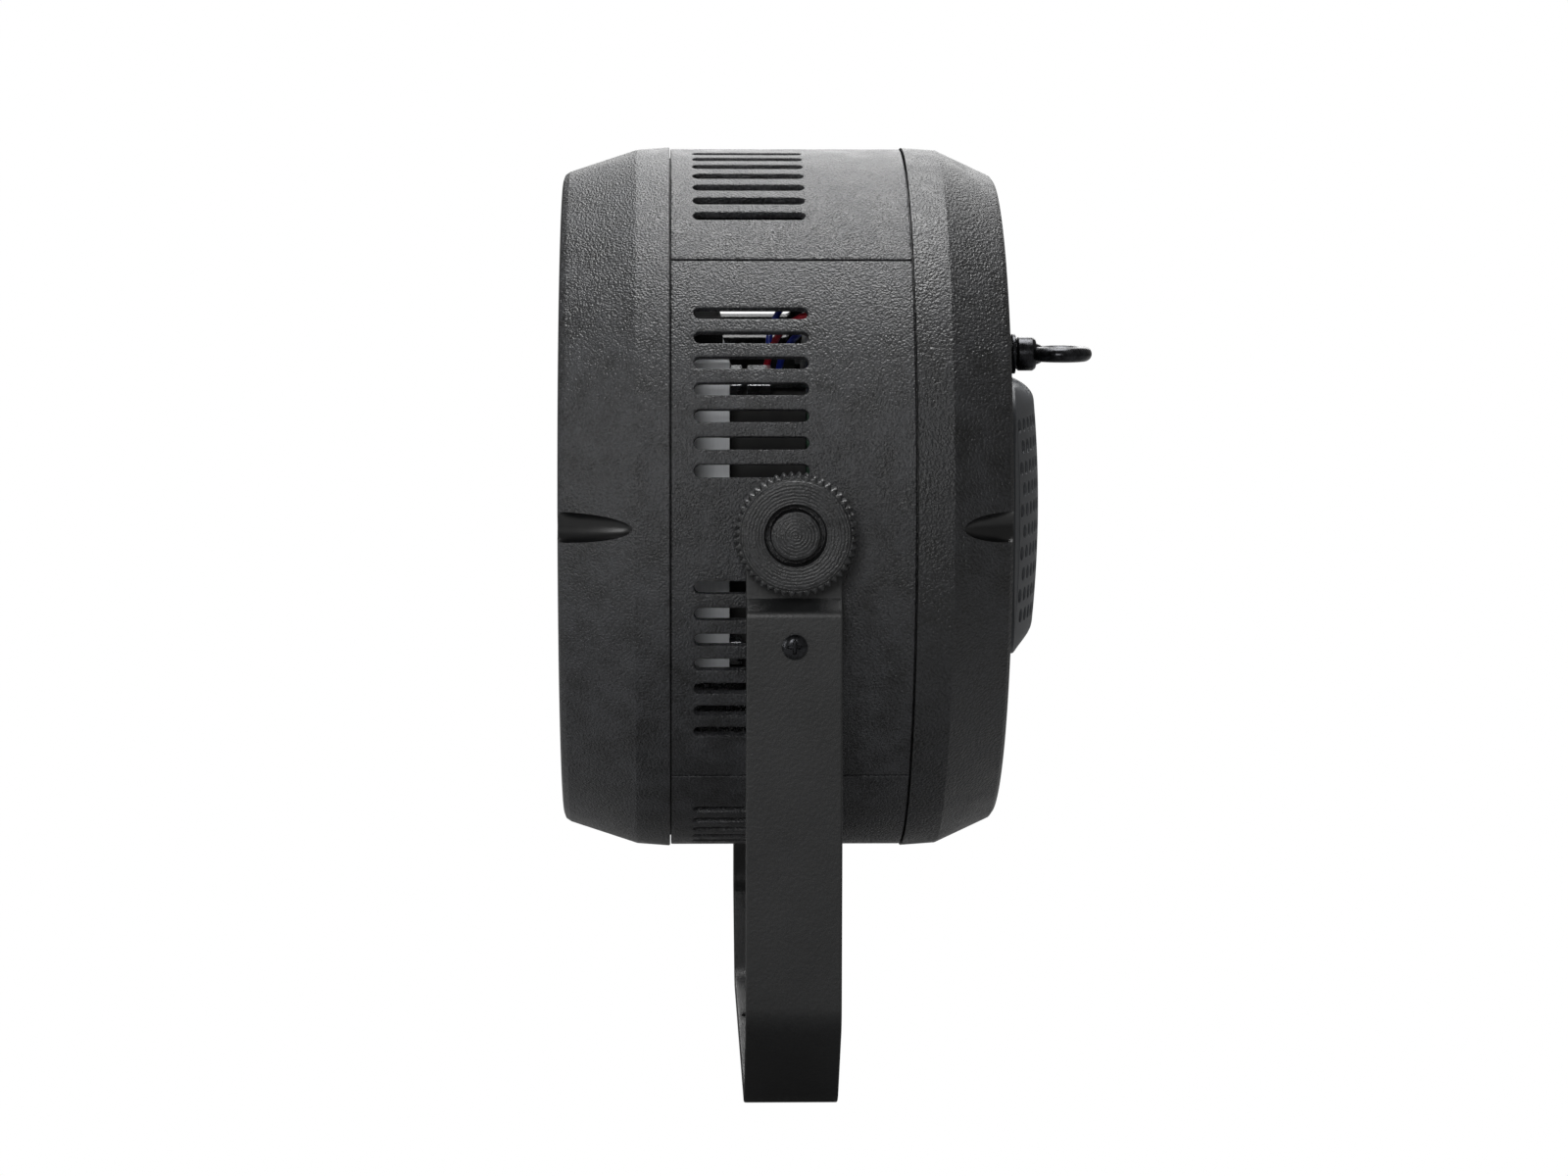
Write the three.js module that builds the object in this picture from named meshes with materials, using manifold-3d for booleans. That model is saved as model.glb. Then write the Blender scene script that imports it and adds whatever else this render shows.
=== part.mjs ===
import * as THREE from 'three';
import * as BufferGeometryUtils from 'three/addons/utils/BufferGeometryUtils.js';
import Module from 'manifold-3d';

const wasm = await Module();
wasm.setup();

// Frame: +Z up, the light shines towards -Y, the tilt pivot runs along X.
// Origin: centre of the clamp hole, on the underside of the yoke's base bar.
// Pieces of the lamp head are drawn around the pivot and lifted by PIVOT_HEIGHT.

// Driving dimensions, in millimetres and degrees.
const PIVOT_HEIGHT = 184;
const CASING_RADIUS = 115;
const CASING_HALF_LENGTH = 37.7;
const WALL = 2.5;
const GAP = 0.3;
const FACETS = 40;

// Front ring.
const FRONT_CREASE = { y: -48.6, r: 114.6 };
const FRONT_CORNER = { y: -70.4, r: 107.4 };
const FRONT_FACE_Y = -72.6;
const LENS_OPENING = 96;

// Rear cover.
const REAR_CREASE = { y: 49.4, r: 114.6 };
const REAR_CORNER = { y: 67.0, r: 106.4 };
const REAR_FACE_Y = 70.1;
const REAR_FACE_RADIUS = 80;
const FAN_CENTRE_Z = -3;
const FAN_OPENING = 38;
const GRILLE = { halfX: 64, halfZ: 43, corner: 12, crest: 83.9, sag: 360 };
const EYE_Z = 47.6;
const EYE_SEAT_Y = 75;
const COVER_SCREWS = { r: 86, angles: [36, 144, -26, -154], floor: 68 };

// Vent slots: each quarter panel carries two groups of seven.
const SLOT_COUNT = 7;
const SLOT_PITCH = 4.27;
const SLOT_FIRST = 9;
const SLOT_FRONT_Y = -30.6;
const SLOT_LENGTH = 35.4;
const SLOT_WIDTH = 4;

// Yoke strap.
const STRAP_WIDTH = 29.6;
const STRAP = 3;
const ARM_UPPER_X = 121;
const ARM_LOWER_X = 125;
const JOGGLE_TOP_Z = -21;
const JOGGLE_FOOT_Z = -25.4;
const CHAMFER_TOP_Z = -152;
const BASE_HALF_WIDTH = 95;
const BEND_RADIUS = 13;
const CLAMP_HOLE_R = 5.5;
const ARC_SLOT = { r: 32, width: 9, half: 16 };
const ARM_SCREW_Z = -34.8;

// Tilt knobs.
const STUD_R = 4;
const KNOB_R = 18.8;
const KNOB_TEETH = 48;
const KNOB_BACK_X = 122.9;
const KNOB_FRONT_X = 135;

// Rear control bay under the grille, and a pocket for each power socket above it.
const BAY = { r: 96, half: 53, top: -49, corner: 71, floor: 61.3 };
const PANEL_TOP_Y = 63.3;
const DATA_SOCKET = { x: 33, z: -66 };
const POWER_SOCKET = { x: 40, z: 64 };
const POCKET = { halfX: 16.5, halfZ: 13.3 };
const DISPLAY_Z = -66;
const BUTTON_PITCH = 9.5;
const BUTTON_Z = -82;

// Optics and cooling.
const LENS_R = 12;
const LENS_RINGS = [{ r: 28, count: 6 }, { r: 62, count: 12 }];
const SINK = { halfX: 78, halfZ: 49, front: -40, rear: -19.2, fins: 18 };

const rad = THREE.MathUtils.degToRad;

const colours = {
  casing: { color: 0x3a3b3c, roughness: 0.62, metalness: 0 },
  powderCoat: { color: 0x262728, roughness: 0.55, metalness: 0.1 },
  knob: { color: 0x17181a, roughness: 0.4, metalness: 0 },
  blackened: { color: 0x101113, roughness: 0.28, metalness: 0.8 },
  steel: { color: 0xb9bcc0, roughness: 0.35, metalness: 0.9 },
  aluminium: { color: 0x9a9ca0, roughness: 0.5, metalness: 0.7 },
  clear: { color: 0xdfe8ee, roughness: 0.08, metalness: 0 },
  board: { color: 0x1d4a34, roughness: 0.5, metalness: 0 },
  whiteBoard: { color: 0xdcdcd6, roughness: 0.5, metalness: 0 },
  rubber: { color: 0x1b1b1b, roughness: 0.8, metalness: 0 },
  red: { color: 0xb0182a, roughness: 0.45, metalness: 0 },
  blue: { color: 0x2432a0, roughness: 0.45, metalness: 0 },
  socket: { color: 0x1c1d1f, roughness: 0.45, metalness: 0 },
  display: { color: 0x10202c, roughness: 0.12, metalness: 0 },
};

// ---- Solids ----

// A closed, outward-facing solid from any closed three.js geometry.
function solid(geometry) {
  const plain = new THREE.BufferGeometry();
  plain.setAttribute('position', geometry.getAttribute('position').clone());
  if (geometry.index) plain.setIndex(geometry.index.clone());
  const merged = BufferGeometryUtils.mergeVertices(plain, 1e-4);
  const vertProperties = new Float32Array(merged.getAttribute('position').array);
  const index = merged.index.array;
  const corner = (k) => new THREE.Vector3().fromArray(vertProperties, 3 * index[k]);
  const kept = [];
  let volume = 0;
  for (let t = 0; t < index.length; t += 3) {
    const [i, j, k] = [index[t], index[t + 1], index[t + 2]];
    if (i === j || j === k || k === i) continue;
    kept.push(i, j, k);
    volume += corner(t).dot(corner(t + 1).cross(corner(t + 2)));
  }
  if (volume < 0) {
    for (let t = 0; t < kept.length; t += 3) [kept[t], kept[t + 1]] = [kept[t + 1], kept[t]];
  }
  return new wasm.Manifold(new wasm.Mesh({ numProp: 3, vertProperties, triVerts: new Uint32Array(kept) }));
}

function joined(...solids) {
  return solids.reduce((sum, piece) => sum.add(piece));
}

function cutBy(body, ...cutters) {
  return cutters.reduce((rest, cutter) => rest.subtract(cutter), body);
}

function basis(x, y, z, origin) {
  const axes = [x, y, z].map((axis) => new THREE.Vector3(...axis));
  return new THREE.Matrix4().makeBasis(...axes).setPosition(...origin);
}

function extruded(outline, depth, matrix) {
  const shape = new THREE.Shape(outline.map(([u, v]) => new THREE.Vector2(u, v)));
  const geometry = new THREE.ExtrudeGeometry(shape, { depth, bevelEnabled: false, steps: 1 });
  return solid(geometry.applyMatrix4(matrix));
}

// Outlines in the plane across one axis, extruded from low to high along it.
const alongX = (outline, low, high) =>
  extruded(outline, high - low, basis([0, 1, 0], [0, 0, 1], [1, 0, 0], [low, 0, 0]));
const alongY = (outline, low, high) =>
  extruded(outline, high - low, basis([1, 0, 0], [0, 0, 1], [0, -1, 0], [0, high, 0]));
const alongZ = (outline, low, high) =>
  extruded(outline, high - low, basis([1, 0, 0], [0, 1, 0], [0, 0, 1], [0, 0, low]));

function rectangle(halfU, halfV, u = 0, v = 0) {
  return [[u - halfU, v - halfV], [u + halfU, v - halfV], [u + halfU, v + halfV], [u - halfU, v + halfV]];
}

function arc(radius, from, to, steps, u = 0, v = 0) {
  return Array.from({ length: steps + 1 }, (_, i) => {
    const angle = rad(from + ((to - from) * i) / steps);
    return [u + radius * Math.cos(angle), v + radius * Math.sin(angle)];
  });
}

function circle(radius, u = 0, v = 0, steps = 16) {
  return arc(radius, 0, 360, steps, u, v).slice(0, -1);
}

function sector(inner, outer, from, to, steps) {
  return [...arc(outer, from, to, steps), ...arc(inner, to, from, steps)];
}

// A straight slot outline with round ends, its length along u.
function stadium(length, width, steps = 2) {
  const half = (length - width) / 2;
  return [...arc(width / 2, -90, 90, steps, half, 0), ...arc(width / 2, 90, 270, steps, -half, 0)];
}

// A slot bent round the origin, with round ends.
function bentSlot(radius, width, half, centre) {
  const endCap = (angle, from) => {
    const [u, v] = arc(radius, angle, angle, 1)[0];
    return arc(width / 2, from, from + 180, 4, u, v).slice(1, -1);
  };
  return [
    ...arc(radius + width / 2, centre - half, centre + half, 4),
    ...endCap(centre + half, centre + half),
    ...arc(radius - width / 2, centre + half, centre - half, 4),
    ...endCap(centre - half, centre - half + 180),
  ];
}

// A profile of [radius, y] points turned about the lamp axis.
function turned(profile, steps = FACETS) {
  return solid(new THREE.LatheGeometry(profile.map(([r, y]) => new THREE.Vector2(r, y)), steps));
}

function closed(profile) {
  return [...profile, profile[0]];
}

function ellipsoid(radii, tiltZ, centre) {
  const geometry = new THREE.SphereGeometry(1, 12, 10).scale(...radii).rotateZ(tiltZ).translate(...centre);
  return solid(geometry);
}

const head = new THREE.Group();
head.position.z = PIVOT_HEIGHT;
const frame = new THREE.Group();
frame.position.z = PIVOT_HEIGHT;

function place(group, name, body, look) {
  const mesh = body.getMesh();
  const geometry = new THREE.BufferGeometry();
  const stride = mesh.numProp;
  const count = mesh.vertProperties.length / stride;
  const positions = new Float32Array(count * 3);
  for (let i = 0; i < count; i += 1) {
    positions.set(mesh.vertProperties.subarray(i * stride, i * stride + 3), i * 3);
  }
  geometry.setAttribute('position', new THREE.BufferAttribute(positions, 3));
  geometry.setIndex(Array.from(mesh.triVerts));
  geometry.computeVertexNormals();
  const piece = new THREE.Mesh(geometry, new THREE.MeshStandardMaterial(colours[look]));
  piece.name = name;
  group.add(piece);
}

const sides = [['right', 1], ['left', -1]];

// An outline drawn for the right side, mirrored for the left when side is -1.
function alongXSide(outline, low, high, side) {
  return side > 0 ? alongX(outline, low, high) : alongX(outline, -high, -low);
}

// ---- Yoke ----

// Centre line of the strap, rounded at each bend: a tangent arc replaces each corner.
function roundedPath(corners, radius, steps) {
  const points = corners.map(([x, z]) => new THREE.Vector2(x, z));
  const path = [points[0]];
  for (let i = 1; i < points.length - 1; i += 1) {
    const back = points[i - 1].clone().sub(points[i]).normalize();
    const ahead = points[i + 1].clone().sub(points[i]).normalize();
    const half = back.angleTo(ahead) / 2;
    const bend = radius[i - 1];
    const reach = bend / Math.tan(half);
    const middle = back.clone().add(ahead).normalize().multiplyScalar(bend / Math.sin(half)).add(points[i]);
    const start = points[i].clone().addScaledVector(back, reach).sub(middle);
    const turn = Math.sign(back.cross(ahead)) * -1 * (Math.PI - 2 * half);
    for (let s = 0; s <= steps; s += 1) {
      path.push(start.clone().rotateAround(new THREE.Vector2(), (turn * s) / steps).add(middle));
    }
  }
  path.push(points[points.length - 1]);
  return path;
}

function strapOutline(path, thickness) {
  const left = [];
  const right = [];
  path.forEach((point, i) => {
    const before = path[Math.max(i - 1, 0)];
    const after = path[Math.min(i + 1, path.length - 1)];
    const along = after.clone().sub(before).normalize();
    const normal = new THREE.Vector2(-along.y, along.x).multiplyScalar(thickness / 2);
    left.push(point.clone().add(normal).toArray());
    right.unshift(point.clone().sub(normal).toArray());
  });
  return [...left, ...right];
}

function yokeStrap() {
  const upper = ARM_UPPER_X - STRAP / 2;
  const lower = ARM_LOWER_X - STRAP / 2;
  const base = -PIVOT_HEIGHT + STRAP / 2;
  const halfPath = [
    [upper, STRAP_WIDTH],
    [upper, JOGGLE_TOP_Z],
    [lower, JOGGLE_FOOT_Z],
    [lower, CHAMFER_TOP_Z],
    [BASE_HALF_WIDTH, base],
  ];
  const radii = [2, 2, BEND_RADIUS, BEND_RADIUS];
  const corners = [...halfPath, ...halfPath.map(([x, z]) => [-x, z]).reverse()];
  const path = roundedPath(corners, [...radii, ...radii.slice().reverse()], 3);
  const outline = strapOutline(path, STRAP);
  const bar = extruded(
    outline,
    STRAP_WIDTH,
    basis([1, 0, 0], [0, 0, 1], [0, -1, 0], [0, STRAP_WIDTH / 2, 0]),
  );
  const half = STRAP_WIDTH / 2;
  const tongue = [...arc(half, 0, 180, 12), [-half, -PIVOT_HEIGHT - 1], [half, -PIVOT_HEIGHT - 1]];
  const reach = ARM_LOWER_X + 5;
  const holes = [
    alongX(circle(STUD_R + GAP + 0.4), -reach, reach),
    alongX(circle(2.3, 0, ARM_SCREW_Z, 8), -reach, reach),
    alongZ(circle(CLAMP_HOLE_R), -PIVOT_HEIGHT - 1, -PIVOT_HEIGHT + STRAP + 1),
  ];
  for (const centre of [0, 180]) {
    const slot = bentSlot(ARC_SLOT.r, ARC_SLOT.width, ARC_SLOT.half, centre);
    holes.push(alongZ(slot, -PIVOT_HEIGHT - 1, -PIVOT_HEIGHT + STRAP + 1));
  }
  return cutBy(bar.intersect(alongX(tongue, -reach, reach)), ...holes);
}

place(frame, 'yoke_strap', yokeStrap(), 'powderCoat');

// Pan-head screw through each arm, with its nut inside.
for (const [sideName, side] of sides) {
  const shank = alongXSide(circle(2, 0, ARM_SCREW_Z, 8), 116.4, ARM_LOWER_X + 1, side);
  const rim = alongXSide(circle(3.9, 0, ARM_SCREW_Z), ARM_LOWER_X + GAP, ARM_LOWER_X + 1.7, side);
  const crown = alongXSide(circle(2.9, 0, ARM_SCREW_Z), ARM_LOWER_X + 1.5, ARM_LOWER_X + 2.5, side);
  const cross = [
    alongXSide(rectangle(2, 0.4, 0, ARM_SCREW_Z), ARM_LOWER_X + 1.3, ARM_LOWER_X + 3, side),
    alongXSide(rectangle(0.4, 2, 0, ARM_SCREW_Z), ARM_LOWER_X + 1.3, ARM_LOWER_X + 3, side),
  ];
  place(frame, `arm_screw_${sideName}`, cutBy(joined(shank, rim, crown), ...cross), 'blackened');
  const hexagon = circle(4, 0, ARM_SCREW_Z, 6);
  const innerFace = ARM_LOWER_X - STRAP - GAP;
  const nut = alongXSide(hexagon, innerFace - 3, innerFace, side);
  const bore = alongXSide(circle(2.3, 0, ARM_SCREW_Z, 8), innerFace - 4, innerFace + 1, side);
  place(frame, `arm_nut_${sideName}`, nut.subtract(bore), 'steel');
}

// ---- Tilt knobs ----

function knurledDisc(radius, depth, teeth, low, high, side) {
  const outline = Array.from({ length: teeth * 2 }, (_, i) => {
    const angle = (Math.PI * i) / teeth;
    const r = i % 2 ? radius - depth : radius;
    return [r * Math.cos(angle), r * Math.sin(angle)];
  });
  return alongXSide(outline, low, high, side);
}

for (const [sideName, side] of sides) {
  const hub = alongXSide(circle(11), KNOB_BACK_X, KNOB_BACK_X + 1.6, side);
  const rim = knurledDisc(KNOB_R, 0.9, KNOB_TEETH, KNOB_BACK_X + 1.4, KNOB_FRONT_X - 1.4, side);
  const face = alongXSide(circle(16.6, 0, 0, 24), KNOB_FRONT_X - 1.5, KNOB_FRONT_X, side);
  const groove = cutBy(
    alongXSide(circle(9.4), KNOB_FRONT_X - 0.9, KNOB_FRONT_X + 1, side),
    alongXSide(circle(7.5), KNOB_FRONT_X - 2, KNOB_FRONT_X + 2, side),
  );
  const socket = alongXSide(circle(STUD_R + GAP, 0, 0, 12), KNOB_BACK_X - 1, KNOB_BACK_X + 8.3, side);
  place(head, `knob_${sideName}`, cutBy(joined(hub, rim, face), groove, socket), 'knob');
  place(head, `knob_stud_${sideName}`, alongXSide(circle(STUD_R, 0, 0, 12), 99, KNOB_BACK_X + 8, side), 'steel');
  const washer = cutBy(
    alongXSide(circle(11), ARM_UPPER_X + GAP, KNOB_BACK_X - GAP, side),
    alongXSide(circle(STUD_R + GAP, 0, 0, 12), 110, 130, side),
  );
  place(head, `knob_washer_${sideName}`, washer, 'steel');
  const pad = cutBy(
    alongXSide(circle(14), 115.8, ARM_UPPER_X - STRAP - GAP, side),
    alongXSide(circle(STUD_R + GAP, 0, 0, 12), 110, 130, side),
  );
  place(head, `friction_pad_${sideName}`, pad, 'rubber');
  const insert = cutBy(
    alongXSide(circle(8, 0, 0, 6), 99.5, 111, side),
    alongXSide(circle(STUD_R + GAP, 0, 0, 12), 90, 130, side),
  );
  place(head, `threaded_insert_${sideName}`, insert, 'steel');
}

// ---- Casing ----

// Scallop: half an ellipsoid laid along the cone, deepest at the open rim.
function scallop(side, front) {
  const along = front ? 24 : 16.5;
  const slope = front ? Math.atan2(7.2, 21.8) : -Math.atan2(8.2, 17.6);
  const centre = front ? [107.4, -72.4, 0] : [106.6, 67.6, 0];
  return ellipsoid([4.4, along, 4.8], -slope * side, [centre[0] * side, centre[1], centre[2]]);
}

function frontRing() {
  const seam = -CASING_HALF_LENGTH - GAP / 2;
  const profile = closed([
    [CASING_RADIUS + 0.4, seam],
    [FRONT_CREASE.r, FRONT_CREASE.y],
    [FRONT_CORNER.r, FRONT_CORNER.y],
    [FRONT_CORNER.r - 1.1, FRONT_FACE_Y + 0.6],
    [FRONT_CORNER.r - 2.8, FRONT_FACE_Y],
    [LENS_OPENING + 3, FRONT_FACE_Y],
    [LENS_OPENING, FRONT_FACE_Y + 4],
    [LENS_OPENING, FRONT_FACE_Y + 6],
    [LENS_OPENING + 3.5, FRONT_FACE_Y + 6],
    [FRONT_CORNER.r - 3, FRONT_CORNER.y + 8],
    [FRONT_CREASE.r - 4.6, FRONT_CREASE.y],
    [CASING_RADIUS - 5.4, seam + 4.5],
    [CASING_RADIUS - WALL - 2 * GAP, seam + 4.5],
    [CASING_RADIUS - WALL - 2 * GAP, seam],
  ]);
  return cutBy(turned(profile), scallop(1, true), scallop(-1, true));
}

place(head, 'front_ring', frontRing(), 'casing');

function quarterPanel(name, centreAngle, isSide) {
  const halfAngle = 45 - 0.17;
  const seamY = CASING_HALF_LENGTH - GAP / 2;
  let panel = alongY(sector(CASING_RADIUS - WALL, CASING_RADIUS - 0.1, -halfAngle, halfAngle, 10), -seamY, seamY);
  if (isSide) {
    panel = joined(
      panel,
      alongX(circle(16, 0, 0, 20), 112, 115.4),
      alongX(circle(12.5), 99, 113),
    );
    panel = cutBy(
      panel,
      alongX(circle(STUD_R + GAP, 0, 0, 12), 90, 120),
      alongX(circle(8 + GAP + 0.1, 0, 0, 6), 90, 111.3),
    );
  }
  const cutters = [];
  for (const sign of [1, -1]) {
    for (let i = 0; i < SLOT_COUNT; i += 1) {
      const angle = rad(sign * (SLOT_FIRST + i * SLOT_PITCH));
      const out = [Math.cos(angle), 0, Math.sin(angle)];
      const across = [-Math.sin(angle), 0, Math.cos(angle)];
      const middle = SLOT_FRONT_Y + SLOT_LENGTH / 2;
      const start = [out[0] * 110, middle, out[2] * 110];
      cutters.push(extruded(stadium(SLOT_LENGTH, SLOT_WIDTH), 8, basis([0, 1, 0], across, out, start)));
    }
  }
  panel = cutBy(panel, ...cutters);
  const turn = new THREE.Matrix4().makeRotationY(-rad(centreAngle));
  place(head, name, panel.transform(turn.elements), 'casing');
}

quarterPanel('side_panel_right', 0, true);
quarterPanel('top_panel', 90, false);
quarterPanel('side_panel_left', 180, true);
quarterPanel('bottom_panel', 270, false);

// Outline of the control bay: an arc below and a straight edge under the grille.
function bayOutline(grow) {
  return [
    ...arc(BAY.r + grow, -90 - BAY.half, -90 + BAY.half, 14),
    [BAY.corner + grow, BAY.top + grow],
    [-BAY.corner - grow, BAY.top + grow],
  ];
}

const coverScrews = COVER_SCREWS.angles.map((angle) => arc(COVER_SCREWS.r, angle, angle, 1)[0]);

function rearCover() {
  const seam = CASING_HALF_LENGTH + GAP / 2;
  const shell = turned(closed([
    [CASING_RADIUS + 0.4, seam],
    [REAR_CREASE.r, REAR_CREASE.y],
    [REAR_CORNER.r, REAR_CORNER.y],
    [REAR_CORNER.r - 1.6, REAR_CORNER.y + 1.1],
    [REAR_FACE_RADIUS, REAR_FACE_Y],
    [FAN_OPENING, REAR_FACE_Y],
    [FAN_OPENING, REAR_FACE_Y - WALL],
    [REAR_FACE_RADIUS - 1, REAR_FACE_Y - WALL],
    [REAR_CORNER.r - 5, REAR_CORNER.y - 1.6],
    [REAR_CREASE.r - 4.6, REAR_CREASE.y],
    [CASING_RADIUS - 5.4, seam - 4.5],
    [CASING_RADIUS - WALL - 2 * GAP, seam - 4.5],
    [CASING_RADIUS - WALL - 2 * GAP, seam],
  ]));
  const tubs = [alongY(bayOutline(2), BAY.floor - 3, REAR_FACE_Y - 2)];
  const cuts = [alongY(bayOutline(0), BAY.floor - GAP, 90), alongY(bayOutline(-3), 40, 90)];
  for (const [, side] of sides) {
    const spot = [side * POWER_SOCKET.x, POWER_SOCKET.z];
    tubs.push(alongY(rectangle(POCKET.halfX + 2, POCKET.halfZ + 2, ...spot), BAY.floor, REAR_FACE_Y - 2));
    cuts.push(alongY(rectangle(POCKET.halfX, POCKET.halfZ, ...spot), PANEL_TOP_Y, 90));
    cuts.push(alongY(rectangle(13.3, 9.8, ...spot), 40, 90));
  }
  for (const [x, z] of coverScrews) {
    cuts.push(alongY(circle(1.8, x, z, 8), 50, 90), alongY(circle(3.4, x, z, 12), COVER_SCREWS.floor, 90));
  }
  const eyeBoss = alongY(circle(7, 0, EYE_Z), REAR_FACE_Y - WALL - 1.5, EYE_SEAT_Y);
  const eyeBore = alongY(circle(STUD_R + GAP, 0, EYE_Z, 12), 50, 90);
  return cutBy(joined(shell, ...tubs, eyeBoss), ...cuts, eyeBore, scallop(1, false), scallop(-1, false));
}

place(head, 'rear_cover', rearCover(), 'casing');

coverScrews.forEach(([x, z], i) => {
  const seat = COVER_SCREWS.floor + GAP;
  const shank = alongY(circle(1.5, x, z, 8), 56, seat + 0.5);
  const crown = alongY(circle(3, x, z, 12), seat, seat + 1.2);
  const cross = [
    alongY(rectangle(1.7, 0.35, x, z), seat + 0.5, seat + 2),
    alongY(rectangle(0.35, 1.7, x, z), seat + 0.5, seat + 2),
  ];
  place(head, `cover_screw_${i + 1}`, cutBy(joined(shank, crown), ...cross), 'blackened');
});

// ---- Optics ----

const lensSeat = FRONT_FACE_Y + 6 + GAP;
const lensRim = LENS_OPENING + 2.5;
const lensDisc = turned([[0, lensSeat], [lensRim, lensSeat], [lensRim, lensSeat + 3], [0, lensSeat + 3]]);
place(head, 'lens_cover', lensDisc, 'clear');

const sealFront = lensSeat + 3 + GAP;
const sealRing = turned(closed([
  [LENS_OPENING - 3, sealFront],
  [LENS_OPENING + 2.5, sealFront],
  [LENS_OPENING + 2.5, sealFront + 2],
  [LENS_OPENING - 3, sealFront + 2],
]));
place(head, 'lens_seal', sealRing, 'rubber');

const lensSpots = LENS_RINGS.flatMap(({ r, count }) =>
  Array.from({ length: count }, (_, i) => {
    const angle = (2 * Math.PI * (i + 0.5)) / count;
    return [r * Math.cos(angle), r * Math.sin(angle)];
  }));

function lensPlate() {
  const front = sealFront + 2 + GAP;
  const plate = turned([[0, front], [LENS_OPENING - 1, front], [LENS_OPENING - 1, front + 2], [0, front + 2]]);
  const bells = lensSpots.map(([x, z]) => {
    const bell = new THREE.CylinderGeometry(4.5, LENS_R, 15, 8, 1);
    return solid(bell.rotateX(Math.PI).translate(x, front + 1.5 + 7.5, z));
  });
  return joined(plate, ...bells);
}

place(head, 'lens_plate', lensPlate(), 'clear');

const boardFront = SINK.front - 2 - GAP;
const ledBoard = alongY(circle(90, 0, 0, 32), boardFront, boardFront + 2);
place(head, 'led_board', ledBoard, 'whiteBoard');

// Heat sink: a base plate with upright fins, the outermost fins flush with its sides.
function heatSink() {
  const pitch = (2 * SINK.halfX - 3) / (SINK.fins - 1);
  const comb = [[-SINK.halfX, SINK.front], [SINK.halfX, SINK.front]];
  for (let i = SINK.fins - 1; i >= 0; i -= 1) {
    const left = -SINK.halfX + i * pitch;
    const root = SINK.front + 5;
    comb.push([left + 3, root], [left + 3, SINK.rear], [left, SINK.rear]);
    if (i > 0) comb.push([left, root]);
  }
  comb.splice(2, 1);
  return alongZ(comb, -SINK.halfZ, SINK.halfZ);
}

place(head, 'heat_sink', heatSink(), 'aluminium');

// ---- Electronics ----

const chassisFront = 8;
const standoffSpots = [[66, 43], [-66, 43], [-66, -43], [66, -43]];
standoffSpots.forEach(([x, z], i) => {
  const post = alongY(circle(3.5, x, z, 6), SINK.rear + GAP, chassisFront - GAP);
  place(head, `standoff_${i + 1}`, post, 'steel');
});

const chassis = cutBy(
  alongY(circle(97, 0, 0, 32), chassisFront, chassisFront + 1.5),
  alongY(circle(12, 78, 58, 16), 0, 20),
  alongY(circle(12, -78, 58, 16), 0, 20),
);
place(head, 'chassis_plate', chassis, 'steel');

function powerSupply() {
  const tray = alongY(rectangle(58, 32), chassisFront - GAP - 2, chassisFront - GAP);
  const transformer = alongY(rectangle(17, 15, 22, 6), -16, 7);
  const capacitor = alongY(circle(9, -26, 8, 16), -14, 7);
  const choke = alongY(rectangle(9, 9, -8, -14), -9, 7);
  const terminals = alongY(rectangle(6, 24, 50, 0), -6, 7);
  const fin = alongY(rectangle(1.5, 26, -48, 0), -15, 7);
  return joined(tray, transformer, capacitor, choke, terminals, fin);
}

place(head, 'power_supply', powerSupply(), 'board');

function driverBoard() {
  const front = 20;
  const board = alongY(rectangle(46, 34, 0, 4), front, front + 1.6);
  const chips = [[-20, 10], [4, 14], [26, -6]].map(([x, z]) => alongY(rectangle(6, 6, x, z), front - 3, front + 1));
  const header = alongY(rectangle(14, 4, -8, -20), front - 8, front + 1);
  return joined(board, ...chips, header);
}

place(head, 'driver_board', driverBoard(), 'board');

function wire(name, look, points, radius = 1.1) {
  const route = new THREE.CatmullRomCurve3(points.map((point) => new THREE.Vector3(...point)));
  const shape = new THREE.Shape(circle(radius, 0, 0, 6).map(([u, v]) => new THREE.Vector2(u, v)));
  const tube = new THREE.ExtrudeGeometry(shape, { steps: 18, bevelEnabled: false, extrudePath: route });
  place(head, name, solid(tube), look);
}

// Leads from the supply's terminals, up past the heat sink and back through the chassis to the board.
wire('wire_red', 'red', [
  [50, -7.6, 20], [64, -12, 24], [77, -12, 39], [82, -7, 56], [80, 4, 64], [77, 13, 60], [58, 24, 44], [40, 24, 30],
]);
wire('wire_blue', 'blue', [
  [50, -7.6, 15], [66, -14, 20], [80, -9, 38], [84.5, -3, 54], [83, 8, 60], [79, 14, 54], [60, 26, 39], [40, 24.5, 24],
]);
wire('wire_left', 'blue', [
  [-51.4, -3, 12], [-60, -10, 26], [-75, -10, 42], [-80, -4, 56], [-79, 8, 60], [-72, 16, 54], [-56, 25, 40], [-40, 24, 30],
]);
wire('wire_lower', 'socket', [
  [50, -7.6, -18], [65, -12, -24], [79, -10, -42], [77, -6, -60], [60, -6, -76], [20, -6, -84], [-20, -4, -82],
], 1.6);

// ---- Fan ----

const fanFront = REAR_FACE_Y - WALL - GAP - 25;
const fanBack = fanFront + 25;

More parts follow.
